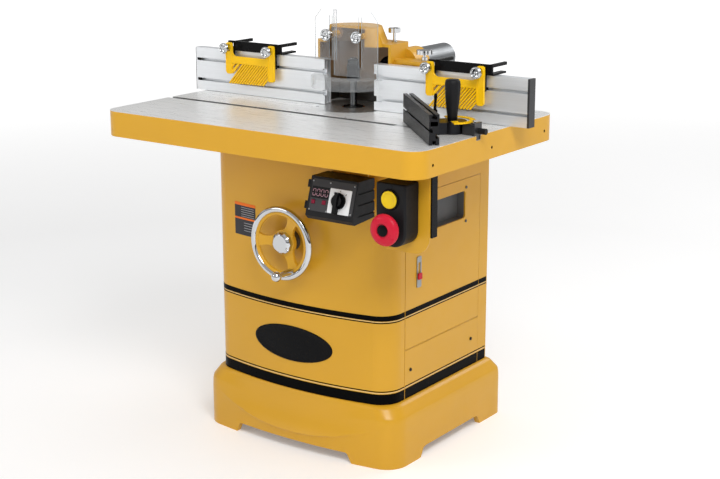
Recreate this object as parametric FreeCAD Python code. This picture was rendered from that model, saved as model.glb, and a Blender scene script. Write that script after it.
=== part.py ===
import FreeCAD, Part
import math
import os

V = FreeCAD.Vector
os.makedirs("parts", exist_ok=True)

# ---------------------------------------------------------------- driving dimensions (mm)
# Everything is drawn about the centre of the table, floor at z = 0, front towards -Y.
# save() then moves it so that the origin lies under the middle of the whole footprint.
FOOTPRINT_CENTRE = V(12.5, 28.5, 0)

TABLE_LENGTH = 1016.0
TABLE_DEPTH = 663.0
TABLE_TOP = 902.5
APRON_HEIGHT = 68.0
TABLE_CORNER = 48.0
TABLE_SKIN = 16.0
APRON_WALL = 14.0
APRON_BOTTOM = TABLE_TOP - APRON_HEIGHT
POCKET_CEILING = TABLE_TOP - TABLE_SKIN

SLOT_FRONT = -75.0
SLOT_WIDTH = 19.0
SLOT_DEPTH = 9.5
SLOT_CENTRE = SLOT_FRONT + SLOT_WIDTH / 2

SPINDLE_X = 5.0
SPINDLE_Y = 109.0

CABINET_HALF = 293.3
CABINET_FRONT = -129.0
CABINET_BULGE = 39.0
CABINET_CORNER = 63.0
CABINET_REAR = 355.4
CABINET_BOTTOM = 168.0
CABINET_SHEET = 5.0

BASE_HALF = 326.2
BASE_FRONT = -148.0
BASE_BULGE = 44.6
BASE_CORNER = 63.5
BASE_REAR = 395.0

DOOR_FRONT = -61.5
DOOR_REAR = 306.5
DOOR_BOTTOM = 304.0
DOOR_TOP = 716.0
DOOR_GAP = 1.2
DOOR_PIVOT_X = CABINET_HALF - 2.5
DOOR_PIVOT_Y = 301.3

WHEEL_X = 5.0
WHEEL_Y = -213.0
WHEEL_Z = 585.0
WHEEL_RIM_RADIUS = 91.0
WHEEL_RIM_SECTION = 8.5
WHEEL_HANDLE_RADIUS = 78.0
WHEEL_SPOKE_ANGLES = (60.0, 180.0, 300.0)
WHEEL_HUB_FACE = WHEEL_Y + 9.0
WHEEL_HUB_BACK = WHEEL_Y + 22.0
WHEEL_HUB_RADIUS = 34.0
WHEEL_RING_RADIUS = 80.5

MOTOR_Y = 240.0
BELT_TOP = 634.0
PULLEY_RADIUS_SPINDLE = 36.0
PULLEY_RADIUS_MOTOR = 48.0

FENCE_FRONT = 81.6
FENCE_DEPTH = 28.5
FENCE_BOTTOM = 903.5
FENCE_HEIGHT = 123.0
FENCE_LEFT_END = -540.0
FENCE_LEFT_INNER = -72.0
FENCE_RIGHT_INNER = 93.0
FENCE_RIGHT_END = 565.0
FENCE_CAP = 6.0
FENCE_SLOTS = (934.5, 992.5)

HOUSING_FRONT = FENCE_FRONT + FENCE_DEPTH + 0.3
HOUSING_REAR = 205.0
HOUSING_LEFT = -116.0
HOUSING_RIGHT = 126.0
HOUSING_TOP = 1077.0
HOUSING_BOTTOM = 902.8
HOUSING_WALL = 8.0
DOME_TOP = 1120.0
PIPE_X = 117.0
PIPE_Z = 1017.0
PIPE_RADIUS = 37.0
PIPE_SEAT_RADIUS = 36.5
PIPE_COLLAR_END = 250.0
PIPE_END = 390.0

GUARD_REACH = 105.0
GUARD_TOP = 1164.0
GUARD_FACE = 79.3
GUARD_KNOB_Z = 1097.0
GUARD_KNOB_OFFSET = 50.0

FEATHER_LEFT_X = -322.0
FEATHER_RIGHT_X = 356.0
FEATHER_KNOB_OFFSET = 76.0
FEATHER_KNOB_Z = 1036.0

MITRE_PIVOT_X = 432.0
MITRE_ANGLE = 45.0
MITRE_FACE_DISTANCE = 92.0
MITRE_FENCE_LENGTH = 320.0
MITRE_FENCE_DEPTH = 25.0
MITRE_FENCE_HEIGHT = 73.0
MITRE_HEAD_TOP = 932.0
MITRE_HEAD_RADIUS = 36.0
MITRE_TAIL_START = MITRE_PIVOT_X + MITRE_HEAD_RADIUS + 1.5

PANEL_LEFT = 137.0
PANEL_WIDTH = 145.0
PANEL_TOP_EDGE = V(PANEL_LEFT, -250.0, 790.0)
PANEL_DOWN = V(0, -28.0, -90.0)

SWITCH_LEFT = 367.0
SWITCH_RIGHT = 452.0
SWITCH_FRONT = -300.0
SWITCH_REAR = -240.0
SWITCH_BOTTOM = 640.0
SWITCH_TOP = 813.0
SWITCH_AXIS_X = 409.0
START_Z = 774.0
STOP_Z = 704.0


# ---------------------------------------------------------------- small helpers
def box(x0, x1, y0, y1, z0, z1):
    return Part.makeBox(x1 - x0, y1 - y0, z1 - z0, V(x0, y0, z0))


def rod(start, direction, radius, length):
    return Part.makeCylinder(radius, length, start, direction)


def rod_z(x, y, z0, z1, radius):
    return rod(V(x, y, z0), V(0, 0, 1), radius, z1 - z0)


def rod_y(x, z, y0, y1, radius):
    return rod(V(x, y0, z), V(0, 1, 0), radius, y1 - y0)


def rod_x(y, z, x0, x1, radius):
    return rod(V(x0, y, z), V(1, 0, 0), radius, x1 - x0)


def union(shapes):
    return shapes[0].multiFuse(shapes[1:]).removeSplitter()


def polygon_solid(points, direction):
    wire = Part.makePolygon(points + [points[0]])
    return Part.Face(wire).extrude(direction)


def rounded_box(x0, x1, y0, y1, z0, z1, radius):
    block = box(x0, x1, y0, y1, z0, z1)
    return block.makeFillet(radius, edges_along(block, V(0, 0, 1)))


def edges_along(shape, direction):
    found = []
    for edge in shape.Edges:
        if edge.Curve.TypeId != "Part::GeomLine":
            continue
        along = (edge.Vertexes[1].Point - edge.Vertexes[0].Point).normalize()
        if abs(abs(along.dot(direction)) - 1) < 1e-6:
            found.append(edge)
    return found


def torus_y(x, y, z, major, minor):
    return Part.makeTorus(major, minor, V(x, y, z), V(0, 1, 0))


def ball_knob(x, z, y_front, radius):
    """Turned ball knob whose axis runs along Y, flattened a little at the back."""
    ball = Part.makeSphere(radius, V(x, y_front + radius, z))
    keep = box(x - radius, x + radius, y_front, y_front + 1.8 * radius, z - radius, z + radius)
    return ball.common(keep)


def star_knob(x, y, z0, radius, height, lobes):
    """Star grip on a vertical axis, with round gaps between the lobes."""
    disc = rod_z(x, y, z0, z0 + height, radius)
    gaps = []
    for index in range(lobes):
        angle = 2 * math.pi * index / lobes
        gap_x = x + 1.12 * radius * math.cos(angle)
        gap_y = y + 1.12 * radius * math.sin(angle)
        gaps.append(rod_z(gap_x, gap_y, z0 - 1, z0 + height + 1, 0.32 * radius))
    return disc.cut(Part.makeCompound(gaps))


def hexagon(x, y, z0, z1, across_flats):
    corner = across_flats / math.sqrt(3)
    points = []
    for index in range(6):
        angle = math.pi * index / 3
        points.append(V(x + corner * math.cos(angle), y + corner * math.sin(angle), z0))
    return polygon_solid(points, V(0, 0, z1 - z0))


def save(name, shape):
    moved = shape.copy()
    moved.translate(FOOTPRINT_CENTRE * -1)
    moved.exportStep("parts/" + name + ".step")


# ---------------------------------------------------------------- bowed cabinet outline
def bowed_wire(half, front, bulge, corner, rear, rear_corner, inset, z):
    """Plan outline with a bowed front: flat sides and back, round corners."""
    bow_radius = (half ** 2 + bulge ** 2) / (2 * bulge) - inset
    bow_centre = front - bulge + inset + bow_radius
    half = half - inset
    rear = rear - inset
    corner = max(corner - inset, 2.0)
    rear_corner = max(rear_corner - inset, 2.0)
    corner_x = half - corner
    corner_y = bow_centre - math.sqrt((bow_radius - corner) ** 2 - corner_x ** 2)
    reach = bow_radius / (bow_radius - corner)
    touch_x = corner_x * reach
    touch_y = bow_centre + (corner_y - bow_centre) * reach
    turn = math.atan2(touch_y - corner_y, touch_x - corner_x) / 2
    mid = V(corner_x + corner * math.cos(turn), corner_y + corner * math.sin(turn), z)
    rear_mid = rear_corner * (1 - math.sqrt(0.5))
    arc = Part.Arc
    line = Part.LineSegment
    edges = [
        arc(V(-touch_x, touch_y, z), V(0, bow_centre - bow_radius, z), V(touch_x, touch_y, z)),
        arc(V(touch_x, touch_y, z), mid, V(half, corner_y, z)),
        line(V(half, corner_y, z), V(half, rear - rear_corner, z)),
        arc(V(half, rear - rear_corner, z), V(half - rear_mid, rear - rear_mid, z),
            V(half - rear_corner, rear, z)),
        line(V(half - rear_corner, rear, z), V(rear_corner - half, rear, z)),
        arc(V(rear_corner - half, rear, z), V(rear_mid - half, rear - rear_mid, z),
            V(-half, rear - rear_corner, z)),
        line(V(-half, rear - rear_corner, z), V(-half, corner_y, z)),
        arc(V(-half, corner_y, z), V(-mid.x, mid.y, z), V(-touch_x, touch_y, z)),
    ]
    return Part.Wire([edge.toShape() for edge in edges])


def cabinet_wire(inset, z):
    return bowed_wire(CABINET_HALF, CABINET_FRONT, CABINET_BULGE, CABINET_CORNER,
                      CABINET_REAR, 6.0, inset, z)


def base_wire(inset, z):
    return bowed_wire(BASE_HALF, BASE_FRONT, BASE_BULGE, BASE_CORNER, BASE_REAR, 30.0, inset, z)


def wire_solid(wire, height):
    return Part.Face(wire).extrude(V(0, 0, height))


def cabinet_front_at(x):
    """Y of the cabinet's bowed front face at a distance x from the middle."""
    radius = (CABINET_HALF ** 2 + CABINET_BULGE ** 2) / (2 * CABINET_BULGE)
    centre = CABINET_FRONT - CABINET_BULGE + radius
    return centre - math.sqrt(radius ** 2 - x ** 2)


# ---------------------------------------------------------------- base and cabinet
def base_casting():
    """Cast plinth: upright walls, a skirt that slopes in to the cabinet, and four feet."""
    arch = 28.0
    wall = 16.0
    body = wire_solid(base_wire(0, 0), CABINET_BOTTOM)
    low = bowed_wire(403.0, -186.0, 19.0, 120.0, 470.0, 90.0, 0, 0)
    high = bowed_wire(CABINET_HALF + 3, CABINET_FRONT - 3, CABINET_BULGE, CABINET_CORNER + 3,
                      CABINET_REAR + 3, 12.0, 0, CABINET_BOTTOM)
    slope = Part.makeLoft([low, high], True, True)
    body = body.common(slope)
    body = body.cut(wire_solid(base_wire(wall, -1), 100))
    body = body.cut(wire_solid(cabinet_wire(24, -1), CABINET_BOTTOM + 2))
    front_arch = polygon_solid([V(-198, -250, -1), V(-184, -250, arch), V(184, -250, arch),
                                V(198, -250, -1)], V(0, 700, 0))
    side_arch = polygon_solid([V(-350, -30, -1), V(-350, -16, arch), V(-350, 258, arch),
                               V(-350, 272, -1)], V(700, 0, 0))
    return body.cut(front_arch).cut(side_arch)


def cabinet_shell():
    """Folded sheet cabinet with flanges, a door opening and a rear opening."""
    height = APRON_BOTTOM - CABINET_BOTTOM
    shell = wire_solid(cabinet_wire(0, CABINET_BOTTOM), height)
    inside_height = height - 10
    shell = shell.cut(wire_solid(cabinet_wire(CABINET_SHEET, CABINET_BOTTOM + 5), inside_height))
    shell = shell.cut(wire_solid(cabinet_wire(38, CABINET_BOTTOM - 1), height + 2))
    side = CABINET_HALF
    openings = [
        box(side - 12, side + 1, DOOR_FRONT, DOOR_REAR, DOOR_BOTTOM, DOOR_TOP),
        box(side - 12, side + 1, DOOR_FRONT, DOOR_REAR, 186, 302),
        box(-180, 180, CABINET_REAR - 20, CABINET_REAR + 1, 260, 740),
        box(side - 1, side + 1, DOOR_FRONT - 1.2, DOOR_FRONT, CABINET_BOTTOM - 1, APRON_BOTTOM + 1),
        rod_y(WHEEL_X, WHEEL_Z, -200, -100, 12.0),
    ]
    for z0, z1 in ((DOOR_TOP, DOOR_TOP + 10), (DOOR_BOTTOM - 1.9, DOOR_BOTTOM)):
        openings.append(rod_z(DOOR_PIVOT_X, DOOR_PIVOT_Y, z0, z1, 1.5))
    for x, z in rear_screw_places():
        openings.append(rod_y(x, z, CABINET_REAR - 6, CABINET_REAR + 1, 2.6))
    return shell.cut(Part.makeCompound(openings))


def rear_screw_places():
    places = []
    for x in (-190, 190):
        for z in (250, 500, 750):
            places.append((x, z))
    return places


def lower_side_panel():
    """Fixed panel under the door, screwed to cleats behind it."""
    side = CABINET_HALF
    panel = box(side - CABINET_SHEET, side, DOOR_FRONT + 0.6, DOOR_REAR - 0.6, 186.6, 301.4)
    cleat_front = box(side - 10, side - CABINET_SHEET, DOOR_FRONT - 14, DOOR_FRONT + 30, 200, 290)
    cleat_rear = box(side - 10, side - CABINET_SHEET, DOOR_REAR - 30, DOOR_REAR + 14, 200, 290)
    return union([panel, cleat_front, cleat_rear])


def rear_cover():
    """Cover plate on the back with rows of ventilation slots."""
    cover = box(-200, 200, CABINET_REAR, CABINET_REAR + 3, 240, 760)
    cuts = []
    for column in (-120, 0, 120):
        for row in range(9):
            z = 320 + 44 * row
            cuts.append(box(column - 42, column + 42, CABINET_REAR - 1, CABINET_REAR + 4, z, z + 8))
    for x, z in rear_screw_places():
        cuts.append(rod_y(x, z, CABINET_REAR - 1, CABINET_REAR + 4, 2.6))
    return cover.cut(Part.makeCompound(cuts))


def panel_screws():
    """Round-head screws of the rear cover and of the panel under the door."""
    screws = []
    for x, z in rear_screw_places():
        head = rod_y(x, z, CABINET_REAR + 3, CABINET_REAR + 6, 5.0)
        shank = rod_y(x, z, CABINET_REAR - 5, CABINET_REAR + 3, 2.5)
        screws.append(head.fuse(shank))
    for y, z in ((-35, 245), (268, 248)):
        screws.append(rod_x(y, z, CABINET_HALF, CABINET_HALF + 2.5, 4.5))
    return Part.makeCompound(screws)


# ---------------------------------------------------------------- door
def side_door():
    """Pan-shaped access door with a rounded window opening."""
    side = CABINET_HALF
    y0 = DOOR_FRONT + DOOR_GAP
    y1 = DOOR_REAR - DOOR_GAP
    z0 = DOOR_BOTTOM + DOOR_GAP
    z1 = DOOR_TOP - DOOR_GAP
    pan = box(side - 14, side, y0, y1, z0, z1)
    pan = pan.cut(box(side - 15, side - CABINET_SHEET, y0 + 3, y1 - 3, z0 + 3, z1 - 3))
    window = rod_corner_window(side - 15, side + 1)
    bores = []
    for start, end in ((z1 - 14, z1 + 1), (z0 - 1, z0 + 14)):
        bores.append(rod_z(DOOR_PIVOT_X, DOOR_PIVOT_Y, start, end, 1.58))
    return pan.cut(window).cut(Part.makeCompound(bores))


def rod_corner_window(x0, x1):
    block = box(x0, x1, 60, 229, 606, 682)
    return block.makeFillet(10.0, edges_along(block, V(1, 0, 0)))


def door_pocket():
    """Dark tray screwed behind the window opening, with four screw heads outside."""
    side = CABINET_HALF - CABINET_SHEET
    flange = box(side - 3, side, 46, 243, 590, 698)
    outer = box(side - 24, side, 57, 232, 603, 685)
    inner = rod_corner_window(side - 21, side + 1)
    tray = union([flange, outer]).cut(inner)
    pieces = [tray]
    for y in (58, 231):
        for z in (597, 691):
            pieces.append(rod_x(y, z, CABINET_HALF, CABINET_HALF + 2.5, 4.0))
    return Part.makeCompound(pieces)


def door_hinge_pins():
    """Two pivot pins, pressed into the cabinet above and below the door."""
    top = rod_z(DOOR_PIVOT_X, DOOR_PIVOT_Y, DOOR_TOP - 12, DOOR_TOP + 10, 1.5)
    bottom = rod_z(DOOR_PIVOT_X, DOOR_PIVOT_Y, DOOR_BOTTOM - 1.9, DOOR_BOTTOM + 12, 1.5)
    return Part.makeCompound([top, bottom])


def latch_plate():
    """Upright latch plate on the door with a slot for the sliding tab."""
    side = CABINET_HALF
    plate = box(side, side + 2.5, -9, 11, 464, 548)
    plate = plate.makeFillet(4.0, edges_along(plate, V(1, 0, 0)))
    return plate.cut(box(side - 1, side + 3, -4, 6, 484, 532))


def latch_tab():
    side = CABINET_HALF
    tab = box(side + 0.15, side + 5, -3.6, 5.6, 486, 503)
    ridge = box(side + 5, side + 7, -3.6, 5.6, 492, 497)
    return union([tab, ridge])


# ---------------------------------------------------------------- table
def table_casting():
    """Ribbed cast table with an apron, a mitre slot and a stepped spindle opening."""
    half_x = TABLE_LENGTH / 2
    half_y = TABLE_DEPTH / 2
    table = rounded_box(-half_x, half_x, -half_y, half_y, APRON_BOTTOM, TABLE_TOP, TABLE_CORNER)
    wall = APRON_WALL
    pocket = rounded_box(wall - half_x, half_x - wall, wall - half_y, half_y - wall,
                         APRON_BOTTOM - 1, POCKET_CEILING, TABLE_CORNER - wall)
    table = table.cut(pocket)
    inner_x = half_x - wall + 1
    inner_y = half_y - wall + 1
    ribs = [
        box(-284, -268, -inner_y, inner_y, APRON_BOTTOM, POCKET_CEILING),
        box(268, 284, -inner_y, inner_y, APRON_BOTTOM, POCKET_CEILING),
        box(-268, 268, -118, -104, APRON_BOTTOM + 14, POCKET_CEILING),
        box(-inner_x, -284, -60, -46, APRON_BOTTOM + 22, POCKET_CEILING),
        box(284, inner_x, -60, -46, APRON_BOTTOM + 22, POCKET_CEILING),
        box(140, 268, -190, -176, APRON_BOTTOM, POCKET_CEILING),
        box(340, inner_x, -242, -228, APRON_BOTTOM, POCKET_CEILING),
    ]
    table = union([table] + ribs)
    cuts = [
        box(-half_x - 1, half_x + 1, SLOT_FRONT, SLOT_FRONT + SLOT_WIDTH,
            TABLE_TOP - SLOT_DEPTH, TABLE_TOP + 1),
        rod_z(SPINDLE_X, SPINDLE_Y, TABLE_TOP - 8, TABLE_TOP + 1, 112.0),
        rod_z(SPINDLE_X, SPINDLE_Y, POCKET_CEILING - 1, TABLE_TOP, 98.0),
        rod_z(-80, -32, POCKET_CEILING - 1, TABLE_TOP + 1, 4.0),
        rod_z(89, -44, POCKET_CEILING - 1, TABLE_TOP + 1, 4.0),
    ]
    for y in (-268, 0, 268):
        cuts.append(rod_x(y, 863, half_x - wall - 1, half_x + 1, 4.0))
        cuts.append(rod_x(y, 863, -half_x - 1, wall + 1 - half_x, 4.0))
    return table.cut(Part.makeCompound(cuts))


def table_inserts():
    """Two nested reducing rings that sit in the spindle opening."""
    top = TABLE_TOP
    outer = rod_z(SPINDLE_X, SPINDLE_Y, top - 8, top, 111.7)
    outer = outer.cut(rod_z(SPINDLE_X, SPINDLE_Y, top - 4, top + 1, 78.0))
    outer = outer.cut(rod_z(SPINDLE_X, SPINDLE_Y, top - 9, top, 70.0))
    inner = rod_z(SPINDLE_X, SPINDLE_Y, top - 4, top, 77.7)
    inner = inner.cut(rod_z(SPINDLE_X, SPINDLE_Y, top - 5, top + 1, 34.0))
    return Part.makeCompound([outer, inner])


# ---------------------------------------------------------------- lift and handwheel
def wheel_bearing():
    """Flanged bearing that carries the handwheel shaft through the front sheet."""
    face = cabinet_front_at(WHEEL_X)
    flange = rod_y(WHEEL_X, WHEEL_Z, face - 12, face - 0.2, 28.0)
    neck = rod_y(WHEEL_X, WHEEL_Z, face - 0.2, face + 30, 11.8)
    boss = rod_y(WHEEL_X, WHEEL_Z, face - 20, face - 12, 17.0)
    bore = rod_y(WHEEL_X, WHEEL_Z, face - 22, face + 32, 8.05)
    return union([flange, neck, boss]).cut(bore)


def wheel_shaft():
    """Handwheel shaft with the driving bevel gear at its inner end."""
    shaft = rod_y(WHEEL_X, WHEEL_Z, WHEEL_HUB_FACE + 4, -33.0, 8.0)
    gear = Part.makeCone(12.0, 22.0, 10.0, V(WHEEL_X, -34.0, WHEEL_Z), V(0, -1, 0))
    return union([shaft, gear])


def handwheel():
    """Cast centre of the handwheel: set-back hub, three dished flared spokes and a ring."""
    hub = rod_y(WHEEL_X, WHEEL_Z, WHEEL_HUB_FACE, WHEEL_HUB_BACK, WHEEL_HUB_RADIUS)
    ring = torus_y(WHEEL_X, WHEEL_Y, WHEEL_Z, WHEEL_RING_RADIUS, 5.5)
    pieces = [hub, ring]
    for angle in WHEEL_SPOKE_ANGLES:
        pieces.append(wheel_spoke(angle))
    wheel = union(pieces)
    handle = wheel_handle_centre()
    cuts = [
        torus_y(WHEEL_X, WHEEL_Y, WHEEL_Z, WHEEL_RIM_RADIUS, WHEEL_RIM_SECTION),
        rod_y(WHEEL_X, WHEEL_Z, WHEEL_HUB_FACE + 4, WHEEL_HUB_BACK + 1, 8.0),
        rod_y(WHEEL_X, WHEEL_Z, WHEEL_HUB_FACE - 1, WHEEL_HUB_FACE + 3, 7.08),
        rod_y(handle.x, handle.z, WHEEL_Y - 30, WHEEL_Y + 30, 4.05),
    ]
    return wheel.cut(Part.makeCompound(cuts))


def wheel_spoke(angle):
    """Spoke that rises from the hub to the ring, narrow at its waist and flared at both ends."""
    inner = 20.0
    outer = 83.0
    side = 45.0
    dish = polygon_solid([V(inner, 12, -side), V(outer, -4, -side), V(outer, 4, -side),
                          V(inner, 21, -side)], V(0, 0, 2 * side))
    depth = -30.0
    upper = Part.Arc(V(inner, depth, 24), V(52, depth, 12.5), V(outer, depth, 24)).toShape()
    lower = Part.Arc(V(outer, depth, -24), V(52, depth, -12.5), V(inner, depth, -24)).toShape()
    tip = Part.makeLine(V(outer, depth, 24), V(outer, depth, -24))
    root = Part.makeLine(V(inner, depth, -24), V(inner, depth, 24))
    flare = Part.Face(Part.Wire([upper, tip, lower, root])).extrude(V(0, 60, 0))
    spoke = dish.common(flare)
    spoke.rotate(V(0, 0, 0), V(0, 1, 0), -angle)
    spoke.translate(V(WHEEL_X, WHEEL_Y, WHEEL_Z))
    return spoke


def wheel_handle_centre():
    angle = math.radians(WHEEL_SPOKE_ANGLES[-1])
    return V(WHEEL_X + WHEEL_HANDLE_RADIUS * math.cos(angle), WHEEL_Y,
             WHEEL_Z + WHEEL_HANDLE_RADIUS * math.sin(angle))


def handwheel_rim():
    return torus_y(WHEEL_X, WHEEL_Y, WHEEL_Z, WHEEL_RIM_RADIUS, WHEEL_RIM_SECTION)


def wheel_handle():
    """Revolving handle: a slim tapered grip with a ball end, on its own pin."""
    centre = wheel_handle_centre()
    x = centre.x
    z = centre.z
    pin = rod_y(x, z, WHEEL_Y - 10, WHEEL_Y + 7, 4.0)
    neck = rod_y(x, z, WHEEL_Y - 13, WHEEL_Y - 9.4, 7.0)
    grip = Part.makeCone(9.0, 5.5, 52.0, V(x, WHEEL_Y - 13, z), V(0, -1, 0))
    ball = Part.makeSphere(13.5, V(x, WHEEL_Y - 70, z))
    return union([pin, neck, grip, ball])


def lock_knob():
    """Ten-sided knob that clamps the handwheel, sitting in the dish of the spokes."""
    back = WHEEL_HUB_FACE - 0.2
    sides = 10
    radius = 30.0
    points = []
    for index in range(sides):
        angle = 2 * math.pi * index / sides
        points.append(V(WHEEL_X + radius * math.cos(angle), back, WHEEL_Z + radius * math.sin(angle)))
    body = polygon_solid(points, V(0, -11, 0))
    cap = Part.makeCone(radius, 22.0, 5.0, V(WHEEL_X, back - 11, WHEEL_Z), V(0, -1, 0))
    stem = rod_y(WHEEL_X, WHEEL_Z, back - 1, back + 3, 7.0)
    head = union([body, cap])
    facets = Part.makeCone(43.0, 23.0, 20.0, V(WHEEL_X, back + 4, WHEEL_Z), V(0, -1, 0))
    return union([head.common(facets), stem])


def slide_way():
    """Fixed lift frame: two round posts hung from the table, joined by a foot plate."""
    plate = box(-105, 115, -48, 62, 540, 556)
    pieces = [plate]
    for x in (-85, 95):
        pieces.append(rod_z(x, 45, 550, POCKET_CEILING, 12.0))
        pieces.append(rod_z(x, 45, POCKET_CEILING - 14, POCKET_CEILING, 24.0))
    socket = rod_z(WHEEL_X, -20, 546, 557, 8.05)
    return union(pieces).cut(socket)


def lift_screw():
    """Vertical lifting screw with the driven bevel gear."""
    screw = rod_z(WHEEL_X, -20, 546.2, 800, 8.0)
    hub = rod_z(WHEEL_X, -20, 556.3, 562, 14.0)
    gear = Part.makeCone(22.0, 12.0, 10.0, V(WHEEL_X, -20, 561), V(0, 0, 1))
    return union([screw, hub, gear])


def carriage():
    """Lifting carriage: spindle quill, post bushings, nut arm and motor shelf."""
    x = SPINDLE_X
    y = SPINDLE_Y
    quill = rod_z(x, y, 650, 862, 42.0)
    shelf = rounded_box(x - 82, x + 82, 60, 322, 650, 664, 20.0)
    pieces = [quill, shelf]
    for post_x in (-85, 95):
        pieces.append(rod_z(post_x, 45, 660, 800, 20.0))
        pieces.append(box(min(post_x, x), max(post_x, x), 38, 88, 650, 680))
    pieces.append(box(x - 22, x + 22, -42, 80, 676, 700))
    body = union(pieces)
    cuts = [rod_z(x, y, 640, 870, 12.56), rod_z(x, y, 672, 838, 31.0),
            rod_z(WHEEL_X, -20, 640, 710, 8.3), rod_z(x, MOTOR_Y, 640, 670, 16.0)]
    for post_x in (-85, 95):
        cuts.append(rod_z(post_x, 45, 640, 810, 12.06))
    return body.cut(Part.makeCompound(cuts))


def motor():
    """Finned motor case standing on the carriage shelf."""
    x = SPINDLE_X
    case = rod_z(x, MOTOR_Y, 664, 850, 66.0)
    pieces = [case, rod_z(x, MOTOR_Y, 664, 676, 72.0), rod_z(x, MOTOR_Y, 838, 850, 72.0)]
    for index in range(18):
        angle = 20.0 * index
        fin = box(60, 72, -1.6, 1.6, 676, 838)
        fin.rotate(V(0, 0, 0), V(0, 0, 1), angle)
        fin.translate(V(x, MOTOR_Y, 0))
        pieces.append(fin)
    return union(pieces).cut(rod_z(x, MOTOR_Y, 660, 760, 12.06))


def grooved_pulley(x, y, radius):
    """Pulley with two flanges and a flat belt face."""
    face = rod_z(x, y, BELT_TOP - 30, BELT_TOP, radius)
    low = rod_z(x, y, BELT_TOP - 34, BELT_TOP - 30, radius + 7)
    high = rod_z(x, y, BELT_TOP, BELT_TOP + 4, radius + 7)
    return [face, low, high]


def motor_rotor():
    shaft = rod_z(SPINDLE_X, MOTOR_Y, BELT_TOP - 40, 759, 12.0)
    return union(grooved_pulley(SPINDLE_X, MOTOR_Y, PULLEY_RADIUS_MOTOR) + [shaft])


def drive_belt():
    """Flat belt around both pulleys, standing just clear of their faces."""
    gap = 0.4
    thick = 4.0
    z0 = BELT_TOP - 28
    height = 26.0
    outer = belt_loop(gap + thick, z0, height)
    inner = belt_loop(gap, z0 - 1, height + 2)
    return outer.cut(inner)


def belt_loop(grow, z0, height):
    small = PULLEY_RADIUS_SPINDLE + grow
    large = PULLEY_RADIUS_MOTOR + grow
    reach = MOTOR_Y - SPINDLE_Y
    sine = (large - small) / reach
    cosine = math.sqrt(1 - sine ** 2)
    x = SPINDLE_X
    points = [
        V(x - small * cosine, SPINDLE_Y - small * sine, z0),
        V(x + small * cosine, SPINDLE_Y - small * sine, z0),
        V(x + large * cosine, MOTOR_Y - large * sine, z0),
        V(x - large * cosine, MOTOR_Y - large * sine, z0),
    ]
    middle = polygon_solid(points, V(0, 0, height))
    return union([middle, rod_z(x, SPINDLE_Y, z0, z0 + height, small),
                  rod_z(x, MOTOR_Y, z0, z0 + height, large)])


def spindle():
    """Spindle shaft with its flange, thinner cutter journal and driven pulley."""
    x = SPINDLE_X
    y = SPINDLE_Y
    shaft = rod_z(x, y, BELT_TOP - 40, 891, 12.5)
    flange = rod_z(x, y, 890, 904, 27.0)
    journal = rod_z(x, y, 904, 1034, 9.5)
    return union([shaft, flange, journal] + grooved_pulley(x, y, PULLEY_RADIUS_SPINDLE))


def spindle_collars():
    """Loose spacing collars that clamp a cutter on the journal."""
    rings = []
    for z0, z1, radius in ((973, 985, 18.0), (985.2, 999, 17.0), (999.2, 1011, 18.0)):
        ring = rod_z(SPINDLE_X, SPINDLE_Y, z0, z1, radius)
        rings.append(ring.cut(rod_z(SPINDLE_X, SPINDLE_Y, z0 - 1, z1 + 1, 9.5)))
    return Part.makeCompound(rings)


def spindle_nut():
    nut = hexagon(SPINDLE_X, SPINDLE_Y, 1015, 1029, 30.0)
    washer = rod_z(SPINDLE_X, SPINDLE_Y, 1011.2, 1015, 17.0)
    return union([nut, washer]).cut(rod_z(SPINDLE_X, SPINDLE_Y, 1000, 1040, 9.5))


# ---------------------------------------------------------------- fence
def half_cone(z0, z1, radius_low, radius_high):
    cone = Part.makeCone(radius_low, radius_high, z1 - z0, V(SPINDLE_X, SPINDLE_Y, z0))
    keep = box(-300, 300, HOUSING_FRONT, 400, z0, z1)
    return cone.common(keep)


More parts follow.
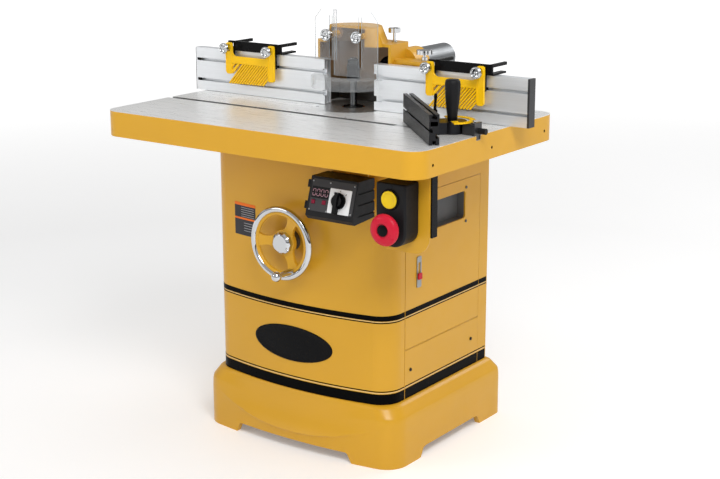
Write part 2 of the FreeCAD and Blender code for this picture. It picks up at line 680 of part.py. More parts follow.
def fence_housing():
    """Hollow casting behind the fence: open front, half-round dome and side carriers."""
    wall = HOUSING_WALL
    body = box(HOUSING_LEFT, HOUSING_RIGHT, HOUSING_FRONT, HOUSING_REAR,
               HOUSING_BOTTOM, HOUSING_TOP)
    body = body.makeFillet(14.0, [edge for edge in edges_along(body, V(0, 0, 1))
                                  if edge.CenterOfMass.y > HOUSING_FRONT + 1])
    dome = half_cone(HOUSING_TOP, DOME_TOP, 95.0, 78.0)
    collar = rod_y(PIPE_X, PIPE_Z, HOUSING_REAR - 20, PIPE_COLLAR_END, PIPE_RADIUS + 6)
    carriers = [
        box(-340, HOUSING_LEFT + 4, HOUSING_FRONT, HOUSING_FRONT + 16, 948, 1002),
        box(HOUSING_RIGHT - 4, 352, HOUSING_FRONT, HOUSING_FRONT + 16, 948, 1002),
    ]
    clamp_arm = rounded_box(HOUSING_RIGHT - 4, 226, 124, 176, 1026, 1036, 14.0)
    clamp_leg = box(HOUSING_RIGHT - 4, 150, 124, 176, 960, 1030)
    rib_rear = HOUSING_FRONT + wall
    guard_posts = []
    for offset in (-GUARD_KNOB_OFFSET, GUARD_KNOB_OFFSET):
        x = SPINDLE_X - 2 + offset
        guard_posts.append(rod_y(x, GUARD_KNOB_Z, GUARD_FACE, HOUSING_FRONT + 4, 8.0))
        guard_posts.append(rod_y(x, GUARD_KNOB_Z, HOUSING_FRONT, rib_rear, 14.0))
        guard_posts.append(box(x - 10, x + 10, HOUSING_FRONT, rib_rear,
                               GUARD_KNOB_Z, DOME_TOP - wall / 2))
    solid = union([body, dome, collar, clamp_arm, clamp_leg] + carriers)
    inside = box(HOUSING_LEFT + wall, HOUSING_RIGHT - wall, HOUSING_FRONT - 1, HOUSING_REAR - wall,
                 HOUSING_BOTTOM - 1, HOUSING_TOP - wall)
    inside_dome = half_cone(HOUSING_TOP - wall - 1, DOME_TOP - wall, 89.0, 72.0)
    bore = rod_y(PIPE_X, PIPE_Z, HOUSING_REAR - wall - 1, PIPE_COLLAR_END + 1, PIPE_SEAT_RADIUS + 0.05)
    solid = solid.cut(inside).cut(inside_dome)
    solid = union([solid, union(guard_posts)])
    stud_holes = []
    for offset in (-GUARD_KNOB_OFFSET, GUARD_KNOB_OFFSET):
        stud_holes.append(rod_y(SPINDLE_X - 2 + offset, GUARD_KNOB_Z, GUARD_FACE - 1,
                                GUARD_FACE + 20, 4.05))
    stud_holes.append(rod_z(101, 165, HOUSING_TOP - wall - 1, HOUSING_TOP + 1, 4.05))
    stud_holes.append(rod_z(206, 152, 1020, 1040, 4.05))
    return solid.cut(bore).cut(Part.makeCompound(stud_holes))


def dust_pipe():
    """Round outlet pipe pressed into the collar at the back of the housing."""
    seat = rod_y(PIPE_X, PIPE_Z, HOUSING_REAR - 6, PIPE_COLLAR_END, PIPE_SEAT_RADIUS)
    pipe = rod_y(PIPE_X, PIPE_Z, PIPE_COLLAR_END, PIPE_END, PIPE_RADIUS)
    bore = rod_y(PIPE_X, PIPE_Z, HOUSING_REAR - 7, PIPE_END + 1, PIPE_RADIUS - 2)
    return union([seat, pipe]).cut(bore)


def hood_star_knob():
    """Star knob on top of the housing, on a slim threaded stud."""
    knob = star_knob(101, 165, 1103, 17.0, 12.0, 5)
    return union([knob, rod_z(101, 165, 1071, 1104, 4.0), rod_z(101, 165, 1077.1, 1081, 8.0)])


def arm_star_knob():
    """Star knob that clamps the right carrier through the clamp arm."""
    knob = star_knob(206, 152, 1054, 22.0, 11.0, 7)
    return union([knob, rod_z(206, 152, 1027, 1055, 4.0), rod_z(206, 152, 1036.1, 1046, 8.0)])


def fence_face(x0, x1, hollow0, hollow1, notch0, notch1):
    """Hollow fence board, closed at its outer end, with two T-slots and loading notches."""
    rear = FENCE_FRONT + FENCE_DEPTH
    top = FENCE_BOTTOM + FENCE_HEIGHT
    board = box(x0, x1, FENCE_FRONT, rear, FENCE_BOTTOM, top)
    front = FENCE_FRONT + 4.5
    back = FENCE_FRONT + 11
    cuts = [box(hollow0, hollow1, rear - 14, rear - 3.5, FENCE_BOTTOM + 4, top - 4)]
    previous = FENCE_BOTTOM + 4
    for slot in FENCE_SLOTS:
        cuts.append(box(hollow0, hollow1, FENCE_FRONT - 1, front + 0.5, slot - 4, slot + 4))
        cuts.append(box(hollow0, hollow1, front, back, slot - 8, slot + 8))
        cuts.append(box(notch0, notch1, FENCE_FRONT - 1, back, slot - 8, slot + 8))
        cuts.append(box(hollow0, hollow1, front, back, previous, slot - 11))
        previous = slot + 11
    cuts.append(box(hollow0, hollow1, front, back, previous, top - 4))
    return board.cut(Part.makeCompound(cuts))


# ---------------------------------------------------------------- guard
def guard_panels():
    """Two clear upright plates with chamfered outer corners and slots for the knobs."""
    middle = SPINDLE_X
    left = guard_plate(middle - GUARD_REACH, middle - 33, -1, 1028.0, GUARD_FACE - 3.2)
    right = guard_plate(middle - 39, middle + GUARD_REACH, 1, 988.0, GUARD_FACE - 6.4)
    slots = []
    for offset in (-GUARD_KNOB_OFFSET, GUARD_KNOB_OFFSET):
        x = middle - 2 + offset
        z0 = 1036 if offset < 0 else 1014
        slots.append(box(x - 4.4, x + 4.4, 60, 90, z0, 1148))
    return Part.makeCompound([left, right]).cut(Part.makeCompound(slots))


def guard_plate(x0, x1, chamfer_side, bottom, y0):
    chamfer = 22.0
    drop = 26.0
    if chamfer_side < 0:
        points = [V(x0, y0, bottom), V(x1, y0, bottom), V(x1, y0, GUARD_TOP),
                  V(x0 + chamfer, y0, GUARD_TOP), V(x0, y0, GUARD_TOP - drop)]
    else:
        points = [V(x0, y0, bottom), V(x1, y0, bottom), V(x1, y0, GUARD_TOP - drop),
                  V(x1 - chamfer, y0, GUARD_TOP), V(x0, y0, GUARD_TOP)]
    return polygon_solid(points, V(0, 3.0, 0))


def guard_shield():
    """Clear visor in front of the cutter: a half-round shelf with a skirt."""
    radius = 108.0
    centre_y = 98.0
    thick = 3.0
    rim = rod_z(SPINDLE_X, centre_y, 984, 988, radius)
    skirt = rod_z(SPINDLE_X, centre_y, 958, 986, radius)
    skirt = skirt.cut(rod_z(SPINDLE_X, centre_y, 957, 984, radius - thick))
    visor = union([rim, skirt])
    visor = visor.cut(rod_z(SPINDLE_X, centre_y, 950, 990, 62.0))
    front = box(-200, 200, -60, GUARD_FACE - 0.2, 950, 990)
    return visor.common(front)


def guard_knob(offset):
    """Chrome ball knob whose stud passes through the guard slot into its post."""
    x = SPINDLE_X - 2 + offset
    front = 42.0
    ball = ball_knob(x, GUARD_KNOB_Z, front, 16.5)
    collar = rod_y(x, GUARD_KNOB_Z, front + 27, GUARD_FACE - 6.6, 9.0)
    stud = rod_y(x, GUARD_KNOB_Z, front + 20, GUARD_FACE + 19, 4.0)
    return union([ball, collar, stud])


# ---------------------------------------------------------------- featherboards
def feather_holder(x):
    """Black bracket over the fence: front bar, two rear levers and a lower wing."""
    bar = box(x - 86, x + 104, 73, 80.5, 1028, 1055)
    left_lever = box(x - 62, x - 54, 73, 145, 1048, 1056)
    right_lever = box(x + 98, x + 106, 73, 145, 1048, 1056)
    wing = box(x + 92, x + 108, 73, 138, 1028, 1033)
    pieces = [bar, left_lever, right_lever, wing]
    keys = box(x - 84, x + 84, 80, FENCE_FRONT + 4, FENCE_SLOTS[1] - 3.4, FENCE_SLOTS[1] + 3.4)
    head = box(x - 84, x + 84, FENCE_FRONT + 5.4, FENCE_FRONT + 10, FENCE_SLOTS[1] - 7,
               FENCE_SLOTS[1] + 7)
    neck = box(x - 84, x + 84, FENCE_FRONT + 3, FENCE_FRONT + 6, FENCE_SLOTS[1] - 3.4,
               FENCE_SLOTS[1] + 3.4)
    for offset in (-FEATHER_KNOB_OFFSET, FEATHER_KNOB_OFFSET):
        pieces.append(box(x + offset - 9, x + offset + 9, 73, 80.5, FENCE_SLOTS[1] - 6, 1030))
    solid = union(pieces + [keys, head, neck])
    holes = []
    for offset in (-FEATHER_KNOB_OFFSET, FEATHER_KNOB_OFFSET):
        holes.append(rod_y(x + offset, FEATHER_KNOB_Z, 70, 82, 3.55))
    window = box(x - 74, x - 66, 70, 82, 1039, 1049)
    return solid.cut(Part.makeCompound(holes)).cut(window)


def featherboard(x):
    """Comb plate: two slotted arms, a cross bar and slanted spring fingers."""
    y0 = 62.0
    y1 = 70.0
    depth = V(0, y1 - y0, 0)
    arms = []
    for offset in (-FEATHER_KNOB_OFFSET, FEATHER_KNOB_OFFSET):
        arm = box(x + offset - 11, x + offset + 11, y0, y1, 962, 1051)
        arms.append(arm.makeFillet(8.0, [edge for edge in edges_along(arm, V(0, 1, 0))
                                         if edge.CenterOfMass.z > 1000]))
    bar = polygon_solid([V(x - 70, y0, 994), V(x + 70, y0, 994), V(x + 70, y0, 1026),
                         V(x + 56, y0, 1017), V(x - 56, y0, 1017), V(x - 70, y0, 1026)], depth)
    comb = polygon_solid([V(x - 57, y0, 996), V(x + 70, y0, 996), V(x + 70, y0, 958),
                          V(x + 51, y0, 938), V(x - 80, y0, 934), V(x - 46, y0, 967)], depth)
    gaps = []
    for index in range(10):
        gap = box(-1.7, 1.7, y0 - 1, y1 + 1, -90, 0)
        gap.rotate(V(0, 0, 0), V(0, 1, 0), 42.0)
        gap.translate(V(x - 13.8 + 9.4 * index, 0, 991))
        gaps.append(gap)
    comb = comb.cut(Part.makeCompound(gaps))
    board = union(arms + [bar, comb])
    slots = []
    for offset in (-FEATHER_KNOB_OFFSET, FEATHER_KNOB_OFFSET):
        slots.append(box(x + offset - 4.2, x + offset + 4.2, y0 - 1, y1 + 1,
                         FEATHER_KNOB_Z - 10, FEATHER_KNOB_Z + 10))
    return board.cut(Part.makeCompound(slots))


def feather_knob(x):
    ball = ball_knob(x, FEATHER_KNOB_Z, 32.0, 15.5)
    collar = rod_y(x, FEATHER_KNOB_Z, 54, 61.8, 8.0)
    stud = rod_y(x, FEATHER_KNOB_Z, 50, 79, 3.5)
    return union([ball, collar, stud])


# ---------------------------------------------------------------- mitre gauge
def mitre_bar():
    """Steel bar in the table slot with a raised tail block and an end plate."""
    bar = box(262, 506, SLOT_FRONT + 0.08, SLOT_FRONT + SLOT_WIDTH - 0.08,
              TABLE_TOP - SLOT_DEPTH + 0.1, TABLE_TOP - 0.2)
    tail = box(MITRE_TAIL_START, 500, SLOT_CENTRE - 13, SLOT_CENTRE + 13, TABLE_TOP + 0.4,
               MITRE_HEAD_TOP - 2)
    plate = box(499, 507, SLOT_CENTRE - 17, SLOT_CENTRE + 17, TABLE_TOP + 0.4, MITRE_HEAD_TOP + 2)
    stem = box(MITRE_TAIL_START + 2, 505, SLOT_CENTRE - 8, SLOT_CENTRE + 8, TABLE_TOP - 1,
               TABLE_TOP + 2)
    solid = union([bar, tail, plate, stem])
    pivot = rod_z(MITRE_PIVOT_X, SLOT_CENTRE, TABLE_TOP - 6, TABLE_TOP + 1, 6.05)
    knob_seat = rod_x(SLOT_CENTRE, 914, 495, 508, 3.05)
    return solid.cut(pivot).cut(knob_seat)


def turned(shape):
    """Turn a mitre piece from its square setting to the resting angle."""
    shape.rotate(V(MITRE_PIVOT_X, SLOT_CENTRE, 0), V(0, 0, 1), MITRE_ANGLE)
    return shape


def mitre_head():
    """Head casting: pivot plate with an arm on each side of the fence foot."""
    z0 = TABLE_TOP + 0.8
    x = MITRE_PIVOT_X
    y = SLOT_CENTRE
    foot = MITRE_FACE_DISTANCE - MITRE_FENCE_DEPTH
    plate = rod_z(x, y, z0, MITRE_HEAD_TOP, MITRE_HEAD_RADIUS)
    arm = box(x - foot, x, y - 30, y + 30, z0, MITRE_HEAD_TOP)
    upright = box(x - foot, x - foot + 14, y - 60, y + 60, z0, 950)
    solid = union([plate, arm, upright])
    return turned(solid.cut(rod_z(x, y, z0 - 1, MITRE_HEAD_TOP + 1, 6.05)))


def mitre_scale():
    """Protractor arc on top of the head, carried by a cross strip."""
    x = MITRE_PIVOT_X
    y = SLOT_CENTRE
    z0 = MITRE_HEAD_TOP
    z1 = z0 + 2.5
    ring = rod_z(x, y, z0, z1, 57.0).cut(rod_z(x, y, z0 - 1, z1 + 1, 43.0))
    ring = ring.cut(box(x - 120, x - 8, y - 120, y + 120, z0 - 2, z1 + 2))
    feet = [box(x - 8, x + 8, y + 22, y + 50, z0, z1), box(x - 8, x + 8, y - 50, y - 22, z0, z1)]
    return turned(union([ring] + feet))


def mitre_fence():
    """Black extrusion of the mitre gauge with T-slots on top and behind."""
    x0 = MITRE_PIVOT_X - MITRE_FACE_DISTANCE
    x1 = x0 + MITRE_FENCE_DEPTH
    half = MITRE_FENCE_LENGTH / 2
    y0 = SLOT_CENTRE - half
    y1 = SLOT_CENTRE + half
    z0 = TABLE_TOP + 1.0
    z1 = z0 + MITRE_FENCE_HEIGHT
    middle = (x0 + x1) / 2
    board = box(x0, x1, y0, y1, z0, z1)
    cuts = [
        box(middle - 3, middle + 3, y0 - 1, y1 + 1, z1 - 5, z1 + 1),
        box(middle - 7, middle + 7, y0 - 1, y1 + 1, z1 - 12, z1 - 4),
        box(x0 - 1, x0 + 4, y0 - 1, y1 + 1, z0 + 33, z0 + 38),
        box(x0 + 3, x0 + 9, y0 - 1, y1 + 1, z0 + 29, z0 + 42),
        box(x1 - 4, x1 + 1, y0 - 1, y1 + 1, z0 + 18, z0 + 24),
        box(x1 - 9, x1 - 3, y0 - 1, y1 + 1, z0 + 15, z0 + 27),
        box(middle - 9, middle + 9, y0 - 1, y1 + 1, z0 + 45, z0 + 56),
        box(middle - 4, middle + 4, y0 - 1, y1 + 1, z0 - 1, z0 + 10),
    ]
    return turned(board.cut(Part.makeCompound(cuts)))


def mitre_handle():
    """Upright grip that screws down to lock the head."""
    x = MITRE_PIVOT_X
    y = SLOT_CENTRE
    washer = rod_z(x, y, MITRE_HEAD_TOP + 0.2, 936, 14.0)
    low = Part.makeCone(15.0, 18.5, 26.0, V(x, y, 936))
    high = Part.makeCone(18.5, 20.5, 64.0, V(x, y, 962))
    crown = Part.makeCone(20.5, 14.0, 10.0, V(x, y, 1026))
    stud = rod_z(x, y, TABLE_TOP - 5.5, 934, 6.0)
    return union([washer, low, high, crown, stud])


def mitre_knob():
    """Small knurled stop knob at the end of the bar."""
    grip = rod_x(SLOT_CENTRE, 914, 509, 530, 7.5)
    stud = rod_x(SLOT_CENTRE, 914, 497, 510, 3.0)
    return union([grip, stud])


# ---------------------------------------------------------------- switchgear
def panel_point(across, down, out):
    """Point on the tilted panel: across to the right, down the slope, out of the face."""
    slope = V(PANEL_DOWN).normalize()
    normal = slope.cross(V(1, 0, 0))
    return PANEL_TOP_EDGE + V(across, 0, 0) + slope * down + normal * out


def panel_normal():
    return V(PANEL_DOWN).normalize().cross(V(1, 0, 0))


def panel_block(across0, across1, down0, down1, out0, out1):
    """Rectangular block that sits square on the tilted panel."""
    corners = [panel_point(across0, down0, out0), panel_point(across1, down0, out0),
               panel_point(across1, down1, out0), panel_point(across0, down1, out0)]
    return polygon_solid(corners, panel_normal() * (out1 - out0))


def control_box():
    """Tilted control enclosure with grooved sides and two button wells."""
    x0 = PANEL_LEFT
    lower = panel_point(0, 100, 0)
    profile = [V(x0, -250, 790), V(x0, -184, 790), V(x0, -184, 690), V(x0, -270, 684),
               V(x0, lower.y, lower.z)]
    case = polygon_solid(profile, V(PANEL_WIDTH, 0, 0))
    grooves = []
    for z in (702, 730, 758):
        for x in (x0 - 1, x0 + PANEL_WIDTH - 2.5):
            grooves.append(box(x, x + 3.5, -254, -183, z, z + 6))
    for across, down in panel_button_places():
        grooves.append(panel_block(across - 5.3, across + 5.3, down - 5.3, down + 5.3, -9, 1))
    grooves.append(rod(panel_point(97, 54, -16), panel_normal(), 4.05, 20))
    return case.cut(Part.makeCompound(grooves))


def panel_button_places():
    return [(18.0, 64.0), (51.0, 63.0)]


def rotary_knob():
    """Pointer knob of the rotary switch, on a short spindle."""
    normal = panel_normal()
    disc = rod(panel_point(97, 54, 2.3), normal, 20.0, 5)
    barrel = rod(panel_point(97, 54, 7), normal, 15.0, 9)
    pointer = panel_block(92, 102, 33, 90, 7, 20)
    stem = rod(panel_point(97, 54, -15), normal, 4.0, 18)
    trimmed = pointer.common(rod(panel_point(97, 60, 2), normal, 28.0, 30))
    return union([disc, barrel, trimmed, stem])


def panel_button(across, down):
    return panel_block(across - 5, across + 5, down - 5, down + 5, -5, 2)


def start_stop_box():
    """Switch case with a rounded lower end and two bores for its buttons."""
    case = box(SWITCH_LEFT, SWITCH_RIGHT, SWITCH_FRONT, SWITCH_REAR, SWITCH_BOTTOM, SWITCH_TOP)
    low = [edge for edge in edges_along(case, V(0, 1, 0)) if edge.CenterOfMass.z < 700]
    case = case.makeFillet(38.0, low)
    side = [edge for edge in edges_along(case, V(0, 0, 1))
            if edge.CenterOfMass.y < SWITCH_FRONT + 1 and edge.CenterOfMass.x > SWITCH_AXIS_X]
    case = case.makeFillet(12.0, side)
    for z, radius in ((START_Z, 16.3), (STOP_Z, 14.3)):
        case = case.cut(rod_y(SWITCH_AXIS_X, z, SWITCH_FRONT - 1, SWITCH_FRONT + 30, radius))
    return case


def start_button():
    """Round start button with a shallow dished face and a bezel."""
    skirt = rod_y(SWITCH_AXIS_X, START_Z, SWITCH_FRONT - 8, SWITCH_FRONT - 4, 21.5)
    stem = rod_y(SWITCH_AXIS_X, START_Z, SWITCH_FRONT - 5, SWITCH_FRONT + 20, 16.0)
    return union([skirt, stem])


def stop_button():
    """Palm-sized mushroom stop button."""
    x = SWITCH_AXIS_X
    stem = rod_y(x, STOP_Z, SWITCH_FRONT - 14, SWITCH_FRONT + 22, 14.0)
    skirt = Part.makeCone(33.0, 39.5, 10.0, V(x, SWITCH_FRONT - 12, STOP_Z), V(0, -1, 0))
    dome = Part.makeCone(39.5, 20.0, 14.0, V(x, SWITCH_FRONT - 22, STOP_Z), V(0, -1, 0))
    return union([stem, skirt, dome])


def switch_bracket():
    """Painted plate that hangs the switchgear from the ribs of the table."""
    plate = box(SWITCH_LEFT - 13, 482, SWITCH_REAR, SWITCH_REAR + 4, 632, APRON_BOTTOM)
    corner = [edge for edge in edges_along(plate, V(0, 1, 0))
              if edge.CenterOfMass.z < 700 and edge.CenterOfMass.x > 400]
    plate = plate.makeFillet(44.0, corner)
    foot = box(SWITCH_LEFT - 13, 460, SWITCH_REAR, SWITCH_REAR + 14, APRON_BOTTOM - 4, APRON_BOTTOM)
    back = box(150, 262, -184, -180, 700, APRON_BOTTOM)
    shelf = box(150, 262, -190, -176, APRON_BOTTOM - 4, APRON_BOTTOM)
    return Part.makeCompound([union([plate, foot]), union([back, shelf])])


def switch_conduit():
    """Black channel beside the switch plate, cut at a slant at its lower end."""
    z0 = 676.0
    profile = [V(462, 0, z0 + 6), V(486, 0, z0), V(486, 0, APRON_BOTTOM - 0.5),
               V(462, 0, APRON_BOTTOM - 0.5)]
    channel = polygon_solid(profile, V(0, 24, 0))
    channel.translate(V(0, SWITCH_REAR + 4, 0))
    hollow = box(465, 483, SWITCH_REAR + 7, SWITCH_REAR + 30, z0 - 2, APRON_BOTTOM - 3)
    return channel.cut(hollow)


# ---------------------------------------------------------------- write every piece
PIECES = {
    "base_casting": base_casting(),
    "cabinet_shell": cabinet_shell(),
    "lower_side_panel": lower_side_panel(),
    "rear_cover": rear_cover(),
    "panel_screws": panel_screws(),
    "side_door": side_door(),
    "door_pocket": door_pocket(),
    "door_hinge_pins": door_hinge_pins(),
    "latch_plate": latch_plate(),
    "latch_tab": latch_tab(),
    "table_casting": table_casting(),
    "table_inserts": table_inserts(),
    "wheel_bearing": wheel_bearing(),
    "wheel_shaft": wheel_shaft(),
    "handwheel": handwheel(),
    "handwheel_rim": handwheel_rim(),
    "wheel_handle": wheel_handle(),
    "lock_knob": lock_knob(),
    "slide_way": slide_way(),
    "lift_screw": lift_screw(),
    "carriage": carriage(),
    "motor": motor(),
    "motor_rotor": motor_rotor(),
    "drive_belt": drive_belt(),
    "spindle": spindle(),
    "spindle_collars": spindle_collars(),
    "spindle_nut": spindle_nut(),
    "fence_housing": fence_housing(),
    "dust_pipe": dust_pipe(),
    "hood_star_knob": hood_star_knob(),
    "arm_star_knob": arm_star_knob(),
    "fence_face_left": fence_face(FENCE_LEFT_END, FENCE_LEFT_INNER, FENCE_LEFT_END + FENCE_CAP,
                                  FENCE_LEFT_INNER + 1, FENCE_LEFT_INNER - 6,
                                  FENCE_LEFT_INNER + 1),
    "fence_face_right": fence_face(FENCE_RIGHT_INNER, FENCE_RIGHT_END, FENCE_RIGHT_INNER - 1,
                                   FENCE_RIGHT_END - FENCE_CAP, FENCE_RIGHT_INNER - 1,
                                   FENCE_RIGHT_INNER + 26),
    "guard_panels": guard_panels(),
    "guard_shield": guard_shield(),
    "guard_knob_left": guard_knob(-GUARD_KNOB_OFFSET),
    "guard_knob_right": guard_knob(GUARD_KNOB_OFFSET),
    "mitre_bar": mitre_bar(),
    "mitre_head": mitre_head(),
    "mitre_scale": mitre_scale(),
    "mitre_fence": mitre_fence(),
    "mitre_handle": mitre_handle(),
    "mitre_knob": mitre_knob(),
    "control_box": control_box(),
    "rotary_knob": rotary_knob(),
    "start_stop_box": start_stop_box(),
    "start_button": start_button(),
    "stop_button": stop_button(),
    "switch_bracket": switch_bracket(),
    "switch_conduit": switch_conduit(),
}

for piece, shape in PIECES.items():
    save(piece, shape)

for side, centre in (("left", FEATHER_LEFT_X), ("right", FEATHER_RIGHT_X)):
    save("feather_holder_" + side, feather_holder(centre))
    save("featherboard_" + side, featherboard(centre))
    save("feather_knob_" + side + "_a", feather_knob(centre - FEATHER_KNOB_OFFSET))
    save("feather_knob_" + side + "_b", feather_knob(centre + FEATHER_KNOB_OFFSET))

for side, place in zip(("left", "right"), panel_button_places()):
    save("panel_button_" + side, panel_button(*place))
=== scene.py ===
import bmesh
import bpy
import math
from mathutils import Matrix, Vector
from mathutils.bvhtree import BVHTree


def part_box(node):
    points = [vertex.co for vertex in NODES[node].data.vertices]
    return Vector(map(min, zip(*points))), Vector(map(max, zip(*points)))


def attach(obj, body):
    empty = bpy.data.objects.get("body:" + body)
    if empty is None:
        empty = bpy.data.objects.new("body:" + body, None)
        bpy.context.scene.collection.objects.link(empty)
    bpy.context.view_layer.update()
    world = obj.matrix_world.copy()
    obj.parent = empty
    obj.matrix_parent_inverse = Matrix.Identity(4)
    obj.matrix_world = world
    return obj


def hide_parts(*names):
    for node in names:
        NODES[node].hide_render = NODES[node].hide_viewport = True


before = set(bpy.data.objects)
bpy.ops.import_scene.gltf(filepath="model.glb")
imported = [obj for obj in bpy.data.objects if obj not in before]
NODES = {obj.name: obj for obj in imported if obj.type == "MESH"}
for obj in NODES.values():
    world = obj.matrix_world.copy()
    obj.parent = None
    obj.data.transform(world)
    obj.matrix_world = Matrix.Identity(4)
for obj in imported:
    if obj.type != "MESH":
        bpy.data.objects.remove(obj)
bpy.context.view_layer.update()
MM = 0.001
SCENE = bpy.context.scene
X_AXIS = Vector((1, 0, 0))
Y_AXIS = Vector((0, 1, 0))
Z_AXIS = Vector((0, 0, 1))

# ---------- places, all read from the frame
TABLE_LOW, TABLE_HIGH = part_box("table_casting")
TABLE_X = (TABLE_LOW.x + TABLE_HIGH.x) / 2
TABLE_Y = (TABLE_LOW.y + TABLE_HIGH.y) / 2
TABLE_Z = TABLE_HIGH.z


def at(x, y, z):
    """Millimetres measured from the table's centre line and the floor, as a point in the frame."""
    return Vector((TABLE_X + x * MM, TABLE_Y + y * MM, z * MM))


SHELL_LOW, SHELL_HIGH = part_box("cabinet_shell")
DOOR_LOW, DOOR_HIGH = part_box("side_door")
LEFT_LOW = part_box("fence_face_left")[0]
RIGHT_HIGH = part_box("fence_face_right")[1]
BASE_LOW, BASE_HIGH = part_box("base_casting")
PANEL_LOW, PANEL_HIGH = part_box("control_box")
SHELL_HALF = (SHELL_HIGH.x - SHELL_LOW.x) / 2
SHELL_MIDDLE = (SHELL_LOW.x + SHELL_HIGH.x) / 2
SHELL_BULGE = 39 * MM
SHELL_CORNER = 63 * MM
BOW_RADIUS = (SHELL_HALF ** 2 + SHELL_BULGE ** 2) / (2 * SHELL_BULGE)
BOW_CENTRE_Y = SHELL_LOW.y + BOW_RADIUS
SHELL_MESH = NODES["cabinet_shell"].data
SHELL_TREE = BVHTree.FromPolygons([vertex.co for vertex in SHELL_MESH.vertices],
                                  [polygon.vertices for polygon in SHELL_MESH.polygons])
SLOT_FRONT = TABLE_Y - 75 * MM
SLOT_REAR = TABLE_Y - 56 * MM
FENCE_CAP = 6 * MM


# ---------- material building
def set_inputs(node, **values):
    for name, value in values.items():
        node.inputs[name.replace("_", " ")].default_value = value


class Field:
    """A value that varies over the surface; sums, products and comparisons add math nodes."""

    def __init__(self, shader, socket):
        self.shader = shader
        self.socket = socket

    def apply(self, operation, *values):
        node = self.shader.add("ShaderNodeMath", operation=operation)
        for target, value in zip(node.inputs, values):
            self.shader.feed(value, target)
        return Field(self.shader, node.outputs[0])

    def __add__(self, other):
        return self.apply("ADD", self, other)

    def __sub__(self, other):
        return self.apply("SUBTRACT", self, other)

    def __rsub__(self, other):
        return self.apply("SUBTRACT", other, self)

    def __mul__(self, other):
        return self.apply("MULTIPLY", self, other)

    def __gt__(self, other):
        return self.apply("GREATER_THAN", self, other)

    def __lt__(self, other):
        return self.apply("LESS_THAN", self, other)

    def __abs__(self):
        return self.apply("ABSOLUTE", self)

    def root(self):
        return self.apply("SQRT", self)

    def either(self, other):
        return self.apply("MAXIMUM", self, other)

    def between(self, low, high):
        """1 where the value lies between two limits, else 0."""
        return (self > low) * (self < high)


class Shader:
    """A node material with short calls for the nodes used below."""

    def __init__(self, name, colour, roughness, metallic=0.0, **sockets):
        self.material = bpy.data.materials.new(name)
        self.material.use_nodes = True
        self.tree = self.material.node_tree
        self.bsdf = self.tree.nodes["Principled BSDF"]
        set_inputs(self.bsdf, Base_Color=(*colour, 1), Roughness=roughness, Metallic=metallic,
                   **sockets)
        self.coords = self.add("ShaderNodeTexCoord").outputs["Object"]

    def add(self, kind, **settings):
        node = self.tree.nodes.new(kind)
        for key, value in settings.items():
            setattr(node, key, value)
        return node

    def feed(self, value, target):
        """Drive a socket by a field, a colour, a number or another socket."""
        if isinstance(value, Field):
            self.tree.links.new(value.socket, target)
        elif isinstance(value, tuple):
            target.default_value = (*value, 1)
        elif isinstance(value, (int, float)):
            target.default_value = value
        else:
            self.tree.links.new(value, target)

    def drive(self, name, value):
        self.feed(value, self.bsdf.inputs[name])

    def noise(self, scale, detail=3.0, stretch=(1, 1, 1)):
        mapping = self.add("ShaderNodeMapping")
        set_inputs(mapping, Scale=stretch)
        self.feed(self.coords, mapping.inputs["Vector"])
        node = self.add("ShaderNodeTexNoise")
        set_inputs(node, Scale=scale, Detail=detail)
        self.feed(mapping.outputs["Vector"], node.inputs["Vector"])
        return Field(self, node.outputs["Fac"])

    def ramp(self, value, low, high, start=0.3, end=0.7):
        node = self.add("ShaderNodeMapRange")
        set_inputs(node, From_Min=start, From_Max=end, To_Min=low, To_Max=high)
        self.feed(value, node.inputs["Value"])
        return Field(self, node.outputs["Result"])

    def mix(self, factor, first, second):
        return self.blend("RGBA", (0, 6, 7), 2, (factor, first, second))

    def choose(self, factor, first, second):
        return self.blend("FLOAT", (0, 2, 3), 0, (factor, first, second))

    def blend(self, kind, sockets, result, values):
        """One Mix node; its sockets are numbered by the kind of value it mixes."""
        node = self.add("ShaderNodeMix", data_type=kind)
        for socket, value in zip(sockets, values):
            self.feed(value, node.inputs[socket])
        return Field(self, node.outputs[result])

    def axis(self, letter, source=None):
        node = self.add("ShaderNodeSeparateXYZ")
        self.feed(source or self.coords, node.inputs[0])
        return Field(self, node.outputs[letter.upper()])

    def facing(self, letter):
        """Component of the surface normal in the piece's own space."""
        return self.axis(letter, self.add("ShaderNodeTexCoord").outputs["Normal"])

    def mottle(self, scale, detail, colour, dark, light):
        """One colour drifting between a darker and a lighter shade of itself."""
        return self.mix(self.noise(scale, detail), shade(colour, dark), shade(colour, light))

    def bump(self, height, distance, strength=1.0, edge=0.0):
        """Surface relief, with softened edges where edge is a radius."""
        node = self.add("ShaderNodeBump")
        set_inputs(node, Strength=strength, Distance=distance)
        self.feed(height, node.inputs["Height"])
        if edge:
            rounding = self.add("ShaderNodeBevel", samples=4)
            set_inputs(rounding, Radius=edge)
            self.feed(rounding.outputs[0], node.inputs["Normal"])
        self.drive("Normal", node.outputs[0])


def shade(colour, factor):
    return tuple(channel * factor for channel in colour)


MUSTARD = (0.64, 0.335, 0.018)
GROUND = (0.86, 0.86, 0.85)
ALUMINIUM = (0.82, 0.84, 0.86)
BRIGHT = (0.50, 0.50, 0.50)
CLEAR_FACE = (0.68, 0.70, 0.71)
CLEAR_EDGE = (0.36, 0.40, 0.42)
CAST_EDGE = 2.5 * MM


